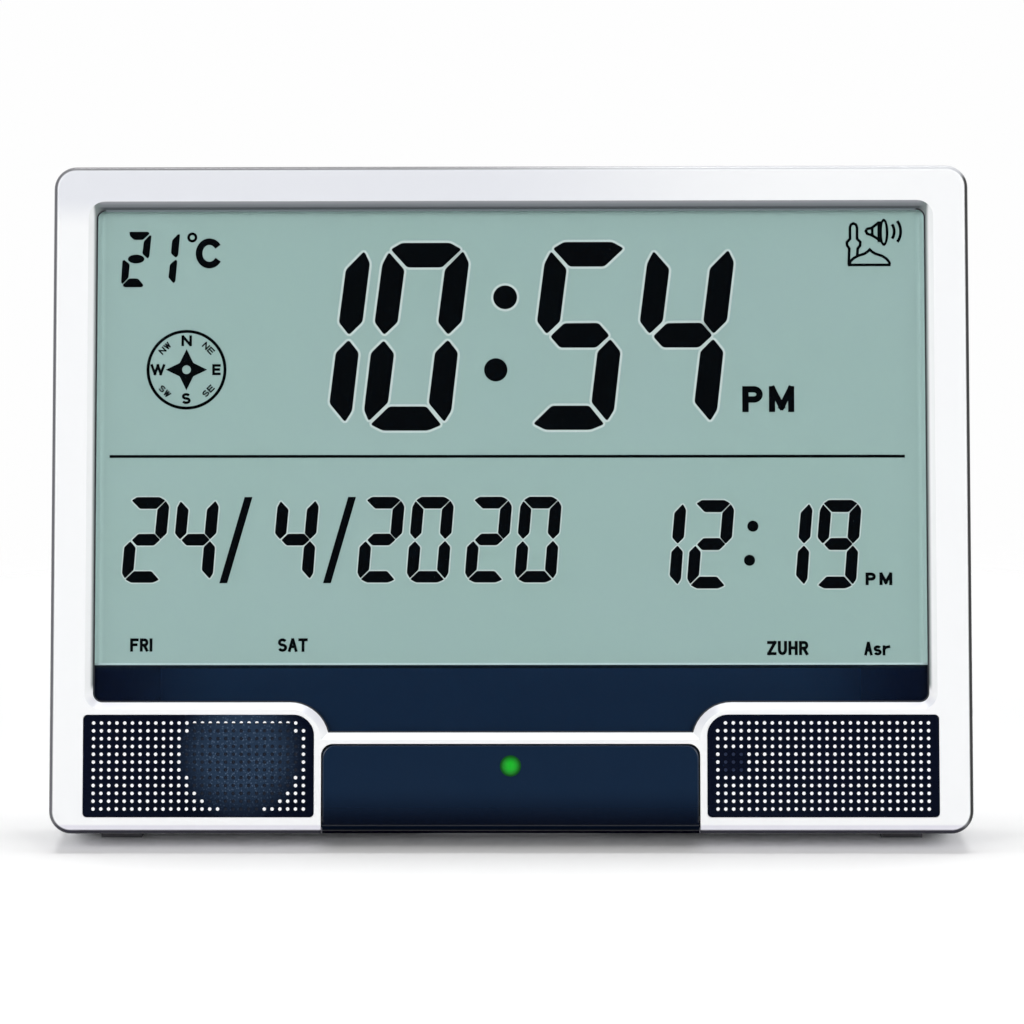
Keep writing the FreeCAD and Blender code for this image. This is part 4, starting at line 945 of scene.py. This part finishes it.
def grille(node, side):
    """A perforated plate; the column nearest the middle has no hole in its rounded corner."""
    low, high = case_box(node)
    middle_x, middle_z = face_middle(node)
    inner = 0 if side > 0 else HOLE_COLUMNS - 1
    rings = [plate_edge(low, high, side)]
    for column in range(HOLE_COLUMNS):
        for row in range(HOLE_ROWS):
            if column != inner or row != HOLE_ROWS - 1:
                rings.append(circle(hole_at(middle_x, column, HOLE_COLUMNS),
                                    hole_at(middle_z, row, HOLE_ROWS),
                                    HOLE_RADIUS, 12, math.radians(15)))
    piece = plates(node.replace("grille", "perforated_plate"), [rings], low.y, "navy_plate",
                   PLATE_THICK)
    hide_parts(node)


def pod_backing(name, node, opening, front):
    """White plastic behind a plate, with an opening for what listens or sounds there."""
    low, high = case_box(node)
    edge = eased(bar(low.x + BACKING_INSET, low.z + BACKING_INSET, high.x - BACKING_INSET,
                     high.z - BACKING_INSET), 4.0, 6)
    plates(name, [[edge, opening]], front, "white_dots", BACKING_THICK)


def sound_opening(node):
    """Round opening before the speaker, stepped between the holes so that it cuts none."""
    top = case_box(node)[1].z
    middle_x, middle_z = face_middle(node)
    start = middle_x - (HOLE_COLUMNS - 1) / 2 * HOLE_PITCH
    levels = [middle_z + (row - HOLE_ROWS / 2) * HOLE_PITCH for row in range(HOLE_ROWS)]
    levels.append(top - FLAT_BELOW)
    left, right = [], []
    for row in range(HOLE_ROWS):
        away = hole_at(middle_z, row, HOLE_ROWS) - SOUND_MIDDLE[1]
        reach = math.sqrt(SOUND_RADIUS ** 2 - away ** 2)
        first = math.ceil((SOUND_MIDDLE[0] - reach - start) / HOLE_PITCH) - 0.5
        last = math.floor((SOUND_MIDDLE[0] + reach - start) / HOLE_PITCH) + 0.5
        for side, x in ((left, start + first * HOLE_PITCH), (right, start + last * HOLE_PITCH)):
            if side and side[-1][0] == x:
                side.pop()
            else:
                side.append((x, levels[row]))
            side.append((x, levels[row + 1]))
    return left + right[::-1]


def sensor_opening():
    x, z = face_middle("temperature_sensor")
    return bar(x - SENSOR_HALF, z - SENSOR_HALF, x + SENSOR_HALF, z + SENSOR_HALF)


grille("left_grille", -1)
grille("right_grille", 1)
plate_back = case_box("left_grille")[0].y + PLATE_THICK
openings = {"left": sound_opening("left_grille"), "right": sensor_opening()}
for pod, opening in openings.items():
    pod_backing(pod + "_pod_backing", pod + "_grille", opening, plate_back + BACKING_GAP)
for pod, cover in (("left", "speaker_cloth"), ("right", "sensor_gauze")):
    plates(cover, [[openings[pod]]], plate_back + CLOTH_GAP, cover)


# --------------------------
# Camera, lamps and the white table
# --------------------------

FACE_MIDDLE = Vector((0.0, 0.0, 113.5))
DISTANCE = 1000.0          # from the camera to the middle of the face, in mm
BELOW_NORMAL = math.radians(3.46)
TO_THE_RIGHT = math.radians(0.61)
ROLL = math.radians(0.06)
LENS = 103.7
SENSOR_WIDE = 36.0
SHIFT = (0.0016, -0.0142)
NEAR_CLIP, FAR_CLIP = 0.01, 50.0           # metres, like all that follows

WORLD_LIGHT = 0.38         # strength of the even light on the part
WHITE_BEHIND = 0.991       # strength of the white that the camera sees
DIM_IN_FRONT = 0.02        # what glass and gloss mirror from the front
TABLE_HALF = 3.0
TABLE_WHITE = 0.74
TABLE_GAIN = 1.25          # how much whiter the camera sees the table
FADE_START, FADE_END = 0.3, 0.7


def make_camera():
    data = bpy.data.cameras.new("camera")
    data.sensor_width = SENSOR_WIDE
    data.lens = LENS
    data.shift_x, data.shift_y = SHIFT
    data.clip_start, data.clip_end = NEAR_CLIP, FAR_CLIP
    camera = bpy.data.objects.new("camera", data)
    bpy.context.scene.collection.objects.link(camera)
    back = Vector((math.sin(TO_THE_RIGHT), -math.cos(BELOW_NORMAL),
                   -math.sin(BELOW_NORMAL))).normalized()
    place = CASE @ (FACE_MIDDLE + back * DISTANCE)
    behind = (CASE.to_3x3() @ back).normalized()
    up = behind.cross(Vector((1, 0, 0))).normalized()
    right = up.cross(behind)
    right, up = (right * math.cos(ROLL) - up * math.sin(ROLL),
                 up * math.cos(ROLL) + right * math.sin(ROLL))
    turn = Matrix((right, up, behind)).transposed().to_4x4()
    camera.matrix_world = Matrix.Translation(place) @ turn
    bpy.context.scene.camera = camera


def softbox(name, place, target, wide, tall, power):
    data = bpy.data.lights.new(name, "AREA")
    data.shape = "RECTANGLE"
    data.size, data.size_y = wide, tall
    data.energy = power
    lamp = bpy.data.objects.new(name, data)
    lamp.location = place
    lamp.rotation_mode = "QUATERNION"
    lamp.rotation_quaternion = (Vector(target) - Vector(place)).to_track_quat("-Z", "Y")
    bpy.context.scene.collection.objects.link(lamp)


def make_world():
    """An even light that looks white; glass and gloss mirror it dim in front of the part."""
    world = bpy.data.worlds.new("studio")
    bpy.context.scene.world = world
    world.use_nodes = True
    tree = world.node_tree
    tree.nodes.clear()
    path = add_node(tree, "ShaderNodeLightPath").outputs
    in_view = path["Is Camera Ray"]
    mirrored = reckon(tree, "MAXIMUM", path["Is Glossy Ray"], path["Is Transmission Ray"])
    way = add_node(tree, "ShaderNodeTexCoord").outputs["Generated"]
    depth = add_node(tree, "ShaderNodeSeparateXYZ", {0: way}).outputs["Y"]
    strength = reckon(tree, "MAXIMUM", ramp(tree, depth, -0.75, -0.15, DIM_IN_FRONT, WHITE_BEHIND),
                      product(tree, in_view, WHITE_BEHIND))
    plain = (1.0, 1.0, 1.0, 1.0)
    light = add_node(tree, "ShaderNodeBackground", {"Color": plain, "Strength": WORLD_LIGHT})
    backdrop = add_node(tree, "ShaderNodeBackground", {"Color": plain, "Strength": strength})
    add_node(tree, "ShaderNodeOutputWorld", {"Surface": mixed_shader(
        tree, reckon(tree, "MAXIMUM", mirrored, in_view), light.outputs["Background"],
        backdrop.outputs["Background"])})


def make_table():
    """A white table top that keeps the shadow and fades into the plain white behind it."""
    data = bpy.data.meshes.new("table_top")
    corners = bar(-TABLE_HALF, -TABLE_HALF, TABLE_HALF, TABLE_HALF)
    data.from_pydata([(x, y, 0) for x, y in corners], [], [(0, 1, 2, 3)])
    table = bpy.data.objects.new("table_top", data)
    bpy.context.scene.collection.objects.link(table)
    material = bpy.data.materials.new("table_top")
    material.use_nodes = True
    tree = material.node_tree
    tree.nodes.remove(tree.nodes["Principled BSDF"])
    in_view = add_node(tree, "ShaderNodeLightPath").outputs["Is Camera Ray"]
    fibre = add_node(tree, "ShaderNodeTexNoise", {"Scale": 40.0}).outputs["Fac"]
    weave = ramp(tree, fibre, 0.0, 1.0, TABLE_WHITE * 0.995, TABLE_WHITE, kind="LINEAR")
    lift = ramp(tree, in_view, 0.0, 1.0, 1.0, TABLE_GAIN, kind="LINEAR")
    top = add_node(tree, "ShaderNodeBsdfDiffuse", {"Color": product(tree, weave, lift)})
    clear = add_node(tree, "ShaderNodeBsdfTransparent")
    place = add_node(tree, "ShaderNodeNewGeometry").outputs["Position"]
    fade = ramp(tree, reckon_vector(tree, "LENGTH", place), FADE_START, FADE_END)
    feed(tree, tree.nodes["Material Output"], {"Surface": mixed_shader(
        tree, product(tree, fade, in_view), top.outputs["BSDF"], clear.outputs["BSDF"])})
    data.materials.append(material)


make_camera()
make_world()
softbox("left_box", (-1.7, -1.65, 1.25), (0, 0, 0.1), wide=1.4, tall=1.5, power=25.0)
softbox("right_box", (1.7, -1.65, 1.25), (0, 0, 0.1), wide=1.4, tall=1.5, power=24.2)
softbox("top_box", (0, 0.38, 1.8), (0, 0, 0), wide=1.3, tall=0.4, power=20.0)
make_table()

bpy.context.scene.view_settings.view_transform = "Standard"
